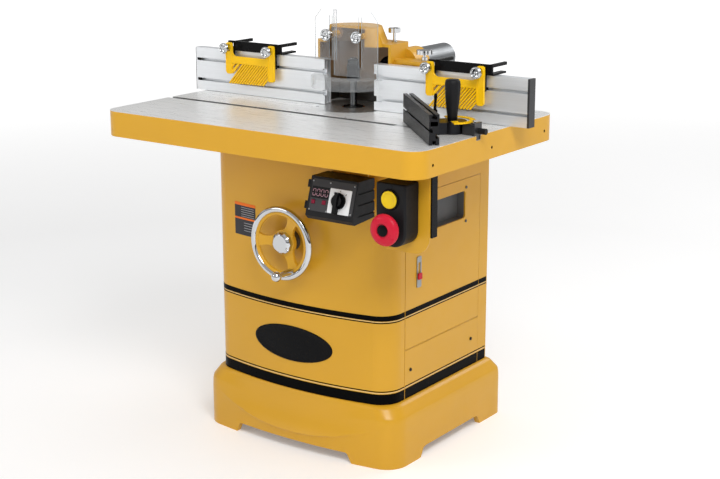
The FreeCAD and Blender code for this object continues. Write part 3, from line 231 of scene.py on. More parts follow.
def paint(name, colour=MUSTARD, cast=False, edge=1.2 * MM):
    """Satin paint with orange peel; cast also lets the casting's unevenness show."""
    shader = Shader(name, colour, 0.36, Coat_Weight=0.12, Coat_Roughness=0.18, Specular_IOR_Level=0.3)
    shader.drive("Base Color", shader.mottle(3.0, 2.0, colour, 0.93, 1.06))
    shader.drive("Roughness", shader.ramp(shader.noise(22.0), 0.30, 0.42))
    peel = shader.noise(420.0, 2.0)
    if cast:
        peel = shader.noise(34.0, 4.0) * 3.5 + peel
    shader.bump(peel, 0.10 * MM, 0.35, edge)
    return shader


def plastic(name, colour, roughness, grain=900.0, depth=0.12, edge=0.6, coat=0.0, specular=0.12):
    """Moulded plastic with a fine spark-eroded grain; depth and edge in millimetres."""
    shader = Shader(name, colour, roughness, Coat_Weight=coat, Coat_Roughness=0.1,
                    Specular_IOR_Level=specular)
    shader.drive("Base Color", shader.mottle(9.0, 2.0, colour, 0.88, 1.1))
    shader.drive("Roughness", shader.ramp(shader.noise(60.0), roughness - 0.05, roughness + 0.08))
    shader.bump(shader.noise(grain, 4.0), depth * MM, 0.4, edge * MM)
    return shader


def print_film(name, colour, roughness=0.4):
    """Smooth printed film or screen ink."""
    return plastic(name, colour, roughness, 1200.0, 0.02)


def metal(name, colour, low, high, stretch=(1, 1, 1), scale=300.0, depth=0.03, edge=0.4):
    """Bare metal whose machining marks run along the axis that stretch shortens."""
    shader = Shader(name, colour, (low + high) / 2, 1.0)
    marks = shader.noise(scale, 5.0, stretch)
    shader.drive("Base Color", shader.mottle(7.0, 4.0, colour, 0.86, 1.08))
    shader.drive("Roughness", shader.ramp(marks, low, high))
    shader.bump(marks, depth * MM, 0.5, edge * MM)
    return shader


def chrome(name):
    shader = Shader(name, (0.58, 0.59, 0.60), 0.07, 1.0)
    shader.drive("Roughness", shader.ramp(shader.noise(45.0), 0.05, 0.11))
    shader.drive("Base Color", shader.mix(shader.noise(12.0), (0.53, 0.54, 0.55), (0.64, 0.65, 0.66)))
    shader.bump(shader.noise(160.0, 2.0), 0.02 * MM, 0.25, 0.4 * MM)
    return shader


def table_material():
    """Ground top and slot on a casting whose other faces are painted; the slot's walls are drawn far darker,
    a painted shade.
    """
    shader = paint("table_paint_and_ground_iron", cast=True)
    coat = shader.mottle(3.0, 2.0, MUSTARD, 0.95, 1.08)
    streaks = shader.noise(1.0, 6.0, (14, 700, 14))
    bare = shader.mix(streaks, shade(GROUND, 0.86), shade(GROUND, 1.12))
    bare = shader.mix(shader.ramp(shader.noise(5.0, 5.0), 0.0, 0.35), bare, shade(GROUND, 0.80))
    in_slot = shader.axis("y").between(SLOT_FRONT - 0.3 * MM, SLOT_REAR + 0.3 * MM)
    flat = shader.axis("z") > TABLE_Z - 0.4 * MM
    sunk = (shader.axis("z") > TABLE_Z - 12 * MM) * in_slot * (1.0 - flat)
    machined = flat.either(sunk)
    # Painted shade on the slot's walls: the bare iron there is drawn far darker.
    bare = shader.mix(sunk, bare, shade(GROUND, 0.22))
    shader.drive("Base Color", shader.mix(machined, coat, bare))
    shader.drive("Metallic", machined * 0.45)
    painted = shader.ramp(shader.noise(22.0), 0.30, 0.42)
    shader.drive("Roughness", shader.choose(machined, painted, shader.ramp(streaks, 0.24, 0.40)))
    set_inputs(shader.bsdf, Coat_Weight=0.0)
    return shader


def inside(shader, low, high):
    """1 where a point lies between two corners, else 0."""
    x, y, z = (shader.axis(letter).between(first, last) for letter, first, last in zip("xyz", low, high))
    return x * y * z


def housing_material():
    """Cast paint outside; inside, painted shade: dark brown of uneven tone, near black towards the bottom.
    """
    shader = paint("housing_paint_and_painted_shade_inside", cast=True, edge=CAST_EDGE)
    chamber = inside(shader, at(-108.5, 109.8, 900), at(118.5, 197.5, 1069.5))
    across = shader.axis("x") - (TABLE_X + 5 * MM)
    along = shader.axis("y") - (TABLE_Y + 109 * MM)
    dome_radius = shader.ramp(shader.axis("z"), 93 * MM, 75 * MM, 1.070, 1.1125)
    under_roof = inside(shader, at(-95, 109.8, 1068), at(105, 205, 1112.5))
    dome = under_roof * ((across * across + along * along).root() < dome_radius)
    # Painted shade inside the chamber and under the dome's roof, darkest towards the bottom, below the
    # visor.
    painted_shade_inside = shader.mix(shader.noise(26.0, 6.0), (0.21, 0.115, 0.045), (0.29, 0.17, 0.075))
    painted_shade_inside = shader.mix(shader.ramp(shader.axis("z"), 1.0, 0.0, 0.93, 0.99), painted_shade_inside, (0.012, 0.009, 0.006))
    skin = shader.mottle(3.0, 2.0, MUSTARD, 0.93, 1.06)
    shader.drive("Base Color", shader.mix(chamber.either(dome), skin, painted_shade_inside))
    return shader


def fence_material(name, cap_low, cap_high):
    """Anodised board with fine lines along it, and a black cap between two x positions."""
    shader = metal(name, ALUMINIUM, 0.38, 0.50, (6, 500, 500), 1.0, 0.02, 0.5)
    lines = shader.noise(1.0, 5.0, (6, 500, 500))
    body = shader.mix(lines, shade(ALUMINIUM, 0.92), shade(ALUMINIUM, 1.06))
    cap = shader.axis("x").between(cap_low, cap_high)
    shader.drive("Base Color", shader.mix(cap, body, (0.022, 0.022, 0.024)))
    shader.drive("Metallic", (1.0 - cap) * 0.7)
    return shader


def mitre_bar_material():
    """Bright bar in the slot; black tail block above the table and black end past its edge."""
    shader = metal("mitre_bar_finish", BRIGHT, 0.24, 0.38, (4, 300, 300), 1.0)
    black = (shader.axis("z") > TABLE_Z + 0.1 * MM).either(shader.axis("x") > TABLE_HIGH.x - 6 * MM)
    grain = shader.mix(shader.noise(40.0, 4.0), (0.018, 0.018, 0.019), (0.032, 0.032, 0.034))
    steel = shader.mottle(7.0, 4.0, BRIGHT, 0.86, 1.08)
    shader.drive("Base Color", shader.mix(black, steel, grain))
    shader.drive("Metallic", 1.0 - black)
    return shader


def clear_sheet(name, across=""):
    """Clear polycarbonate: a painted sheen makes it brighter at grazing angles, a faint uneven haze is
    partly painted reflection, and it is grey along its cut edges.
    """
    shader = Shader(name, CLEAR_FACE, 0.06, 0.0, Specular_IOR_Level=0.4)
    rim = shader.add("ShaderNodeLayerWeight")
    set_inputs(rim, Blend=0.35)
    flat = abs(shader.facing("y"))
    for letter in across:
        flat = flat.either(abs(shader.facing(letter)))
    cut = flat < 0.5
    shader.drive("Base Color", shader.mix(cut, CLEAR_FACE, CLEAR_EDGE))
    # Painted sheen: the sheet grows more opaque at grazing angles.
    glow = shader.ramp(rim.outputs["Facing"], 0.0, 0.4, 0.4, 1.0)
    # Faint uneven haze over the whole sheet, partly the sheet's milkiness and partly painted reflection.
    milky_reflection_haze = shader.ramp(shader.noise(30.0, 6.0), 0.09, 0.13)
    shader.drive("Alpha", glow + (milky_reflection_haze + cut * 0.85))
    shader.drive("Roughness", shader.ramp(shader.noise(40.0), 0.04, 0.10))
    return shader


PAINT = paint("mustard_paint")
CAST_PAINT = paint("mustard_cast_paint", cast=True, edge=CAST_EDGE)
BASE_PAINT = paint("mustard_base_paint", cast=True, edge=0.0)
MOTOR_PAINT = paint("motor_paint", (0.035, 0.04, 0.045), cast=True)
BLACK = plastic("black_plastic", (0.011, 0.011, 0.012), 0.40)
SATIN_BLACK = plastic("satin_black_plastic_and_outlet_shade", (0.004, 0.004, 0.0045), 0.24, 500.0, 0.03, specular=0.08)
DARK_GREY = plastic("dark_grey_plastic", (0.12, 0.123, 0.125), 0.5)
PANEL_GREY = plastic("panel_grey", (0.052, 0.052, 0.055), 0.45)
WHITE = plastic("white_plate", (0.78, 0.79, 0.80), 0.35, specular=0.4)
RED = plastic("red_plastic", (0.55, 0.012, 0.035), 0.30, 300.0, 0.03, coat=0.08)
PANEL_RED = plastic("dim_red_button", (0.20, 0.008, 0.03), 0.35, 600.0, 0.03)
YELLOW = plastic("yellow_plastic", (0.95, 0.56, 0.008), 0.33, 500.0, 0.05, 0.5, coat=0.15)
BUTTON_YELLOW = plastic("button_yellow", (0.72, 0.50, 0.015), 0.36, 500.0, 0.04, coat=0.05)
CREAM = plastic("cream_line", (0.80, 0.60, 0.30), 0.35, 1200.0, 0.02)
VINYL_AND_BORE_SHADE = plastic("black_vinyl_and_bore_shade", (0.002, 0.002, 0.002), 0.3, 1200.0, 0.01, specular=0.03)
RUBBER_AND_GAP_SHADE = plastic("belt_rubber", (0.015, 0.015, 0.015), 0.75, 300.0, 0.3)
LABEL = print_film("label_film", (0.045, 0.045, 0.05))
ORANGE = print_film("orange_print", (0.82, 0.17, 0.02))
LABEL_LINE = print_film("grey_print", (0.42, 0.42, 0.44), 0.45)
GLOW = print_film("display_segment", (0.46, 0.25, 0.30))
CHROME = chrome("polished_chrome")
STEEL = metal("turned_steel", BRIGHT, 0.22, 0.38)
SPINDLE = metal("ground_spindle", (0.11, 0.115, 0.12), 0.14, 0.26, (1, 1, 30), 20.0, 0.01)
PIPE = metal("drawn_pipe", (0.24, 0.25, 0.26), 0.34, 0.48, (1, 0.03, 1), 420.0)
GREY_IRON = metal("machined_casting", (0.16, 0.165, 0.17), 0.45, 0.6, scale=120.0, depth=0.15)
GROUND_RING = metal("ground_rings", GROUND, 0.26, 0.40, scale=260.0)
BLACK_STEEL = metal("black_oxide_steel", (0.025, 0.026, 0.03), 0.3, 0.45)
BLACK_ANODISED = metal("black_anodised", (0.03, 0.03, 0.032), 0.32, 0.46, (60, 60, 900), 1.0)
ZINC = metal("zinc_plate", (0.36, 0.37, 0.38), 0.3, 0.5, scale=90.0)

KNOBS = {
    "guard_knob_left": "knob_guard_left", "guard_knob_right": "knob_guard_right",
    "feather_knob_left_a": "knob_left_a", "feather_knob_left_b": "knob_left_b",
    "feather_knob_right_a": "knob_right_a", "feather_knob_right_b": "knob_right_b",
}
NODE_MATERIALS = (
    (PAINT, ("cabinet_shell", "lower_side_panel", "rear_cover", "side_door", "switch_bracket")),
    (CAST_PAINT, ("base_casting", "handwheel")),
    (housing_material(), ("fence_housing",)),
    (table_material(), ("table_casting",)),
    (GROUND_RING, ("table_inserts",)),
    (DARK_GREY, ("door_pocket",)),
    (ZINC, ("latch_plate",)),
    (RED, ("latch_tab", "stop_button")),
    (PANEL_RED, ("panel_button_left", "panel_button_right")),
    (BLACK_STEEL, ("panel_screws", "spindle_collars", "spindle_nut", "mitre_head")),
    (STEEL, ("door_hinge_pins", "slide_way", "wheel_shaft", "lift_screw", "motor_rotor")),
    (SPINDLE, ("spindle",)),
    (mitre_bar_material(), ("mitre_bar",)),
    (PIPE, ("dust_pipe",)),
    (GREY_IRON, ("wheel_bearing", "carriage")),
    (MOTOR_PAINT, ("motor",)),
    (RUBBER_AND_GAP_SHADE, ("drive_belt",)),
    (CHROME, ("handwheel_rim", "wheel_handle", "lock_knob", "hood_star_knob", "arm_star_knob",
              *KNOBS)),
    (fence_material("fence_left_finish", LEFT_LOW.x - 1, LEFT_LOW.x + 2 * MM),
     ("fence_face_left",)),
    (fence_material("fence_right_finish", RIGHT_HIGH.x - FENCE_CAP, RIGHT_HIGH.x + 1),
     ("fence_face_right",)),
    (clear_sheet("clear_plates"), ("guard_panels",)),
    (clear_sheet("clear_visor", "xz"), ("guard_shield",)),
    (SATIN_BLACK, ("feather_holder_left", "feather_holder_right", "rotary_knob", "switch_conduit")),
    (YELLOW, ("featherboard_left", "featherboard_right", "mitre_scale")),
    (BLACK_ANODISED, ("mitre_fence",)),
    (BLACK, ("mitre_handle", "mitre_knob", "control_box", "start_stop_box")),
    (BUTTON_YELLOW, ("start_button",)),
)
for shader, names in NODE_MATERIALS:
    for name in names:
        NODES[name].data.materials.clear()
        NODES[name].data.materials.append(shader.material)


# ---------- piece building
def axes_matrix(origin, right, up, out):
    matrix = Matrix((right, up, out)).transposed().to_4x4()
    matrix.translation = origin
    return matrix


def facing_front(origin):
    """Right is +X, up is +Z and out is towards the operator."""
    return axes_matrix(origin, X_AXIS, Z_AXIS, -Y_AXIS)


def facing_right(origin):
    """Right is +Y, up is +Z and out is away from the cabinet's right side."""
    return axes_matrix(origin, Y_AXIS, Z_AXIS, X_AXIS)


def rectangle(x0, x1, y0, y1):
    return [(x0, y0), (x1, y0), (x1, y1), (x0, y1)]


def arc_points(x, y, radius, start, sweep, steps):
    """Points along a circular arc, from start over sweep, both in degrees."""
    turns = [math.radians(start + sweep * step / steps) for step in range(steps + 1)]
    return [(x + radius * math.cos(turn), y + radius * math.sin(turn)) for turn in turns]


def rounded_rectangle(x0, x1, y0, y1, radius):
    outline = []
    for x, y, start in ((x1 - radius, y1 - radius, 0), (x0 + radius, y1 - radius, 90),
                        (x0 + radius, y0 + radius, 180), (x1 - radius, y0 + radius, 270)):
        outline += arc_points(x, y, radius, start, 90, 6)
    return outline


def soften(obj, width, segments, angle):
    """Bevel modifier on edges sharper than an angle; width in millimetres."""
    rounding = obj.modifiers.new("soft_edges", "BEVEL")
    rounding.width = width * MM
    rounding.segments = segments
    rounding.limit_method = "ANGLE"
    rounding.angle_limit = math.radians(angle)


class Build:
    """A mesh in progress: vert takes a place in the frame, and profiles, outlines and heights
    are millimetres in a placing matrix."""

    def __init__(self):
        self.mesh = bmesh.new()

    def vert(self, *place):
        return self.mesh.verts.new(place)

    def face(self, verts):
        self.mesh.faces.new(verts)

    def join(self, first, second):
        """Close the strip between two rows of vertices that both run in a loop."""
        for index in range(len(first)):
            after = (index + 1) % len(first)
            self.face([first[index], first[after], second[after], second[index]])

    def ring(self, matrix, outline, height):
        return [self.vert(*(matrix @ Vector((x * MM, y * MM, height * MM)))) for x, y in outline]

    def lathe(self, matrix, profile, segments=48):
        """Turn (radius, height) pairs about the third axis of matrix."""
        rings = []
        for radius, height in profile:
            turned = arc_points(0, 0, radius, 0, 360, segments)[:segments]
            rings.append(self.ring(matrix, turned if radius > 0.001 else [(0, 0)], height))
        for low, high in zip(rings, rings[1:]):
            for index in range(segments):
                after = (index + 1) % segments
                corners = dict.fromkeys([low[index % len(low)], low[after % len(low)],
                                         high[after % len(high)], high[index % len(high)]])
                if len(corners) > 2:
                    self.face(list(corners))
        return self

    def prism(self, matrix, outline, low, high):
        """Close a flat outline between two heights along the third axis of matrix."""
        bottom = self.ring(matrix, outline, low)
        top = self.ring(matrix, outline, high)
        self.face(list(reversed(bottom)))
        self.face(top)
        self.join(bottom, top)
        return self

    def to_object(self, name):
        data = bpy.data.meshes.new(name)
        bmesh.ops.recalc_face_normals(self.mesh, faces=self.mesh.faces)
        self.mesh.to_mesh(data)
        self.mesh.free()
        obj = bpy.data.objects.new(name, data)
        SCENE.collection.objects.link(obj)
        return obj

    def piece(self, name, shader, body, slot, smooth=40, bevel=0.0):
        """Finish the mesh as a named object that rides on a body."""
        obj = self.to_object(name)
        obj.data.materials.append(shader.material)
        for polygon in obj.data.polygons:
            polygon.use_smooth = True
        obj.data.set_sharp_from_angle(angle=math.radians(smooth))
        if bevel:
            soften(obj, bevel, 2, 40)
        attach(obj, body)
        return obj


def subtract(target, build):
    """Cut a mesh in progress from a piece and keep only the resulting mesh."""
    tool = build.to_object("cutter")
    step = target.modifiers.new("cut", "BOOLEAN")
    step.operation = "DIFFERENCE"
    step.solver = "EXACT"
    step.object = tool
    bpy.context.view_layer.objects.active = target
    target.modifiers.move(len(target.modifiers) - 1, 0)
    with bpy.context.temp_override(object=target, active_object=target):
        bpy.ops.object.modifier_apply(modifier=step.name)
    bpy.data.objects.remove(tool)


# ---------- stripes on the cabinet
TAPE = 0.25 * MM
TAPE_LIFT = 0.02 * MM
# Black tapes round the cabinet; the cream lines between them are drawn lighter than the mustard paint.
STRIPES = (
    ("upper_wide", 398, 412, VINYL_AND_BORE_SHADE), ("upper_cream", 395.4, 396.9, CREAM),
    ("upper_fine", 391.4, 394.4, VINYL_AND_BORE_SHADE), ("lower_fine", 202.8, 205.8, VINYL_AND_BORE_SHADE),
    ("lower_cream", 199.7, 201.3, CREAM), ("lower_wide", 168.6, 197.4, VINYL_AND_BORE_SHADE),
)


def shell_outline():
    """Plan points of the cabinet from the rear right corner, round the front, to the rear left."""
    corner_x = SHELL_HALF - SHELL_CORNER
    corner_y = BOW_CENTRE_Y - math.sqrt((BOW_RADIUS - SHELL_CORNER) ** 2 - corner_x ** 2)
    touch = math.atan2(BOW_CENTRE_Y - corner_y, corner_x)
    points = [Vector((SHELL_HALF, y)) for y in (SHELL_HIGH.y - 8 * MM, DOOR_HIGH.y, DOOR_LOW.y, corner_y)]
    for step in range(1, 24):
        turn = -touch * step / 24
        points.append(Vector((corner_x + SHELL_CORNER * math.cos(turn),
                              corner_y + SHELL_CORNER * math.sin(turn))))
    swing = math.pi / 2 - touch
    for step in range(0, 97):
        turn = swing * (1 - step / 96)
        points.append(Vector((BOW_RADIUS * math.sin(turn), BOW_CENTRE_Y - BOW_RADIUS * math.cos(turn))))
    points += [Vector((-point.x, point.y)) for point in reversed(points[:-1])]
    return [Vector((point.x + SHELL_MIDDLE, point.y)) for point in points]


def on_sheet(point, out):
    """Nearest place on the cabinet sheet straight behind a plan point."""
    reach = 4 * MM
    ray_height = 0.24
    start = Vector((point.x + out.x * reach, point.y + out.y * reach, ray_height))
    hit = SHELL_TREE.ray_cast(start, Vector((-out.x, -out.y, 0)), 2 * reach)[0]
    return Vector((hit.x, hit.y)) if hit else point


def add_band(build, path, low, high):
    """Thin tape along a plan path, proud of the sheet it is stuck to; heights in millimetres."""
    layers = []
    for index, point in enumerate(path):
        tangent = (path[min(index + 1, len(path) - 1)] - path[max(index - 1, 0)]).normalized()
        out = Vector((-tangent.y, tangent.x))
        sheet = on_sheet(point, out)
        near = sheet + out * TAPE_LIFT
        far = sheet + out * TAPE
        layers.append([build.vert(*near, low * MM), build.vert(*far, low * MM),
                       build.vert(*far, high * MM), build.vert(*near, high * MM)])
    for first, second in zip(layers, layers[1:]):
        build.join(first, second)
    build.face(layers[0])
    build.face(list(reversed(layers[-1])))


def stripes():
    outline = shell_outline()
    side_x = outline[0].x
    behind_door = [outline[0], Vector((side_x, DOOR_HIGH.y + 1.6 * MM))]
    door = [Vector((side_x, y)) for y in (DOOR_HIGH.y - 0.4 * MM, DOOR_LOW.y + 0.4 * MM)]
    front = [Vector((side_x, DOOR_LOW.y - 2.8 * MM))] + outline[3:]
    for name, low, high, shader in STRIPES:
        on_door = low * MM > DOOR_LOW.z
        tape = Build()
        for path in (behind_door, front) if on_door else (behind_door, front, door):
            add_band(tape, path, low, high)
        tape.piece("stripe_" + name, shader, "cabinet", "dark_plastic")
        if on_door:
            tape = Build()
            add_band(tape, door, low, high)
            tape.piece("door_stripe_" + name, shader, "door", "dark_plastic")


def door_gap_shade_strip():
    """Black strip behind the gap at the front, top and bottom edges of the door: painted shade in the gap.
    """
    front, rear = DOOR_LOW.y / MM - 4, DOOR_HIGH.y / MM - 12
    low, high = DOOR_LOW.z / MM - 3, DOOR_HIGH.z / MM + 4
    wide = 8
    outline = [(rear, low), (front, low), (front, high), (rear, high), (rear, high - wide),
               (front + wide, high - wide), (front + wide, low + wide), (rear, low + wide)]
    strip = Build().prism(facing_right(Vector((SHELL_HIGH.x - 8 * MM, 0, 0))), outline, 0, 2.4)
    strip.piece("door_gap_shade_strip", RUBBER_AND_GAP_SHADE, "cabinet", "dark_plastic", bevel=0.3)


# ---------- badge and label on the bowed front
BADGE_STEPS = 96
BADGE_X, BADGE_Z = -1, 297
BADGE_HALF_WIDTH, BADGE_HALF_HEIGHT = 131, 49
BADGE_DOME = 3.0
BADGE_RINGS = ((1.0, 0.05), (1.0, 1.2), (0.985, 2.2), (0.95, 2.4), (0.93, 2.0), (0.7, 2.5), (0.35, 2.9))
LABEL_STEPS = 8


def on_front(x, z, out):
    """Point on the bowed front sheet, pushed out by a distance, all in millimetres."""
    start = Vector((TABLE_X + x * MM, SHELL_LOW.y - 50 * MM, z * MM))
    hit = SHELL_TREE.ray_cast(start, Y_AXIS)[0]
    return Vector((hit.x, hit.y - out * MM, hit.z))


def badge():
    """Plain oval plate that follows the bow, slightly domed, with a rolled edge."""
    plate = Build()
    layers = []
    for scale, out in BADGE_RINGS:
        turns = [2 * math.pi * step / BADGE_STEPS for step in range(BADGE_STEPS)]
        layers.append([plate.vert(*on_front(BADGE_X + BADGE_HALF_WIDTH * scale * math.cos(turn),
                                            BADGE_Z + BADGE_HALF_HEIGHT * scale * math.sin(turn), out))
                       for turn in turns])
    for first, second in zip(layers, layers[1:]):
        plate.join(first, second)
    centre = plate.vert(*on_front(BADGE_X, BADGE_Z, BADGE_DOME))
    for step in range(BADGE_STEPS):
        plate.face([layers[-1][step], layers[-1][(step + 1) % BADGE_STEPS], centre])
    plate.face(layers[0])
    plate.piece("oval_badge", SATIN_BLACK, "cabinet", "dark_plastic", 60)


def front_film(name, shader, slot, rows, low, high):
    """Rectangular films (x0, x1, z0, z1) that follow the bow of the front."""
    film = Build()
    for x0, x1, z0, z1 in rows:
        back_low, back_high, face_low, face_high = (
            [film.vert(*on_front(x0 + (x1 - x0) * i / LABEL_STEPS, z, out))
             for i in range(LABEL_STEPS + 1)]
            for out in (low, high) for z in (z0, z1))
        for first, second in ((face_low, face_high), (back_high, back_low), (back_low, face_low),
                              (face_high, back_high)):
            for i in range(LABEL_STEPS):
                film.face([first[i], first[i + 1], second[i + 1], second[i]])
        for i in (0, LABEL_STEPS):
            film.face([back_low[i], face_low[i], face_high[i], back_high[i]])
    film.piece(name, shader, "cabinet", slot)


def front_label():
    """Plain information film with two header bars and ruled lines, without any words."""
    left, right = -206, -124
    front_film("front_label", LABEL, "dark_grey", [(left, right, 568, 658)], 0.02, 0.25)
    front_film("front_label_bars", ORANGE, "red_plastic",
               [(left, right, 650, 658), (left, right, 612, 617)], 0.26, 0.4)
    rules = [(-180, -130, 644 - 6 * index, 645.2 - 6 * index) for index in range(5)]
    rules += [(-170, -134, 602 - 7 * index, 603.2 - 7 * index) for index in range(4)]
    front_film("front_label_rules", LABEL_LINE, "dark_grey", rules, 0.26, 0.34)


# ---------- cast base
BASE_HALF = (BASE_HIGH.x - BASE_LOW.x) / 2
BASE_MIDDLE = (BASE_HIGH.x + BASE_LOW.x) / 2
BASE_BULGE = 44.6 * MM
BASE_CORNER = 63.5 * MM
BASE_REAR_CORNER = 30 * MM
BASE_WALL = 16 * MM
RIM_GAP = 3 * MM
NECK_INSET = 24 * MM
LEDGE_HEIGHT = 99 * MM
ARCH_HEIGHT = 28 * MM
CRESCENT_HALF = 272 * MM
CRESCENT_REAR = TABLE_Y - 100 * MM
ARCH_FRONT = (198, 184)
ARCH_SIDE_FRONT = (-30, -16)
ARCH_SIDE_REAR = (272, 258)
SHOULDER = ((0.0, 0.0), (0.02, 0.13), (0.1, 0.36), (0.45, 0.84), (0.52, 0.92), (0.7, 0.98), (1.0, 1.0))


def bowed_plan(half, front, bulge, corner, rear, rear_corner, shares):
    """Plan loop with a bowed front, in eight runs divided at the given shares of their length."""
    radius = (half ** 2 + bulge ** 2) / (2 * bulge)
    centre = front + radius
    corner_x = half - corner
    corner_y = centre - math.sqrt((radius - corner) ** 2 - corner_x ** 2)
    touch = math.atan2(centre - corner_y, corner_x)
    swing = math.pi / 2 - touch
    quarter = math.pi / 2
    side, front_turn, round_turn = shares

    def arc(x, y, size, start, sweep, steps):
        turns = [start + sweep * share for share in steps]
        return [Vector((x + size * math.cos(turn), y + size * math.sin(turn))) for turn in turns]

    rear_edge = rear - rear_corner
    rear_x = half - rear_corner
    points = [Vector((half, rear_edge + (corner_y - rear_edge) * share)) for share in side]
    points += arc(corner_x, corner_y, corner, 0, -touch, round_turn)
    points += arc(0, centre, radius, -touch, -2 * swing, front_turn)
    points += arc(-corner_x, corner_y, corner, -math.pi + touch, -touch, round_turn)
    points += [Vector((-half, corner_y + (rear_edge - corner_y) * (1 - share))) for share in reversed(side)]
    points += arc(-rear_x, rear_edge, rear_corner, math.pi, -quarter, round_turn)
    points += [Vector((-rear_x + 2 * rear_x * share, rear)) for share in front_turn]
    points += arc(rear_x, rear_edge, rear_corner, quarter, -quarter, round_turn)
    return [Vector((point.x + BASE_MIDDLE, point.y)) for point in points]


def base_shares():
    """Where the plan loop is divided, so that every foot starts on a division."""
    corner_y = BASE_LOW.y + 107 * MM
    rear_edge = BASE_HIGH.y - BASE_REAR_CORNER
    front_length = 2 * (BASE_HALF - 63 * MM)
    side = [step / 40 for step in range(40)]
    side += [(rear_edge - (TABLE_Y + y * MM)) / (rear_edge - corner_y)
             for y in ARCH_SIDE_FRONT + ARCH_SIDE_REAR]
    front = [step / 90 for step in range(90)]
    front += [0.5 - sign * x * MM / front_length for x in ARCH_FRONT for sign in (-1, 1)]
    return sorted(side), sorted(front), [step / 12 for step in range(12)]


def ramp_between(value, start, end):
    return min(max((value - start) / (end - start), 0.0), 1.0)


def foot_line(point):
    """Height of the lower edge of the base at a plan point."""
    along_x = abs(point.x - TABLE_X) / MM
    along_y = (point.y - TABLE_Y) / MM
    if abs(point.x - BASE_MIDDLE) > BASE_HALF - 20 * MM:
        rise = min(ramp_between(along_y, *ARCH_SIDE_FRONT), ramp_between(along_y, *ARCH_SIDE_REAR))
    else:
        rise = ramp_between(along_x, *ARCH_FRONT)
    return ARCH_HEIGHT * rise


def shoulder(share):
    for (x0, y0), (x1, y1) in zip(SHOULDER, SHOULDER[1:]):
        if share <= x1:
            return y0 + (y1 - y0) * (share - x0) / (x1 - x0)
    return 1.0


def base_shape():
    """Hollow cast base: a crescent crease across the front, rounded shoulders elsewhere."""
    shares = base_shares()
    front, rear, top = BASE_LOW.y, BASE_HIGH.y, BASE_HIGH.z
    foot_plan = bowed_plan(BASE_HALF, front, BASE_BULGE, BASE_CORNER, rear, BASE_REAR_CORNER, shares)
    top_plan = bowed_plan(SHELL_HALF + RIM_GAP, SHELL_LOW.y - RIM_GAP, SHELL_BULGE, 66 * MM,
                          SHELL_HIGH.y + RIM_GAP, 12 * MM, shares)
    wall_plan = bowed_plan(BASE_HALF - BASE_WALL, front + BASE_WALL, BASE_BULGE, BASE_CORNER - BASE_WALL,
                           rear - BASE_WALL, 14 * MM, shares)
    neck_plan = bowed_plan(SHELL_HALF - NECK_INSET, SHELL_LOW.y + NECK_INSET, SHELL_BULGE, 39 * MM,
                           SHELL_HIGH.y - NECK_INSET, 2 * MM, shares)
    upper = [(step / 22) ** 1.3 for step in range(23)]
    lower = [0.02, 0.05, 0.1, 0.18] + [step / 7 for step in range(2, 8)]
    skirt = Build()
    columns = []
    for foot, rim, wall, neck in zip(foot_plan, top_plan, wall_plan, neck_plan):
        across = abs(foot.x - TABLE_X) / CRESCENT_HALF
        crescent = max(1 - across ** 2.2, 0.0) if foot.y < CRESCENT_REAR else 0.0
        depth = top * (0.36 + 0.31 * crescent)
        low = foot_line(foot)
        column = []
        for share in upper:
            place = rim.lerp(foot, (1 - crescent) * shoulder(share) + crescent * share ** 2.8)
            column.append(skirt.vert(*place, top - depth * share))
        for share in lower:
            tuck = crescent * (2.2 * min(share / 0.05, 1) + 2 * min(share * 4, 1) + 4 * share) * MM
            column.append(skirt.vert(foot.x, foot.y + tuck, (top - depth) * (1 - share) + low * share))
        for plan, height in ((wall, low), (wall, LEDGE_HEIGHT), (neck, LEDGE_HEIGHT), (neck, top)):
            column.append(skirt.vert(*plan, height))
        columns.append(column)
    for first, second in zip(columns, columns[1:] + columns[:1]):
        skirt.join(first, second)
    base = skirt.piece("base_skirt", BASE_PAINT, "cabinet", "paint_mustard", 60)
    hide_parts("base_casting")


# ---------- cheek of the hood's dome
CHEEK_STEPS = 20
CHEEK_X, CHEEK_Y = 58.6, 112
CHEEK_WIDE, CHEEK_DEEP = 41.4, 27
CHEEK_PROFILE = ((0, 1069, 0), (1, 1117, 0), (1.15, 1119.6, 3), (1.15, 1119.6, 42),
                 (1.0, 1112.5, 42), (0.9, 1112.5, 7), (0, 1069, 6))
# Outlet profile: a flat disc that is painted shade of the open bore, and a raised rim round it.
OUTLET_RIM_AND_SHADE_DISC = ((0, 0.2), (43, 0.2), (43, 3.5), (41, 4.5), (39, 3.5), (38, 1), (0, 1))
WELD = 0.01 * MM


def dome_cheek():
    """Curved wall that closes the right front of the dome, with its piece of roof."""
    cheek = Build()
    layers = []
    for step in range(CHEEK_STEPS + 1):
        turn = math.pi / 2 * step / CHEEK_STEPS
        layer = []
        for shrink, z, skin in CHEEK_PROFILE:
            wide = max(CHEEK_WIDE - 15.6 * shrink - skin, 0)
            deep = max(CHEEK_DEEP - 3 * shrink - skin, 0)
            layer.append(cheek.vert(*at(CHEEK_X + wide * math.cos(turn),
                                        CHEEK_Y - deep * math.sin(turn), z)))
        layers.append(layer)
    for first, second in zip(layers, layers[1:]):
        cheek.join(first, second)
    cheek.face(layers[0])
    cheek.face(list(reversed(layers[-1])))
    bmesh.ops.remove_doubles(cheek.mesh, verts=cheek.mesh.verts, dist=WELD)
    bmesh.ops.dissolve_degenerate(cheek.mesh, edges=cheek.mesh.edges, dist=WELD)
    cheek.piece("hood_cheek", CAST_PAINT, "fence", "paint_mustard")
    # Black disc across the outlet: painted shade of its open bore, inside a raised black rim.
    mouth = Build().lathe(facing_front(at(70, 196.9, 992)), OUTLET_RIM_AND_SHADE_DISC, 64)
    mouth.piece("hood_outlet_rim_and_shade_disc", SATIN_BLACK, "fence", "dark_plastic", 35)


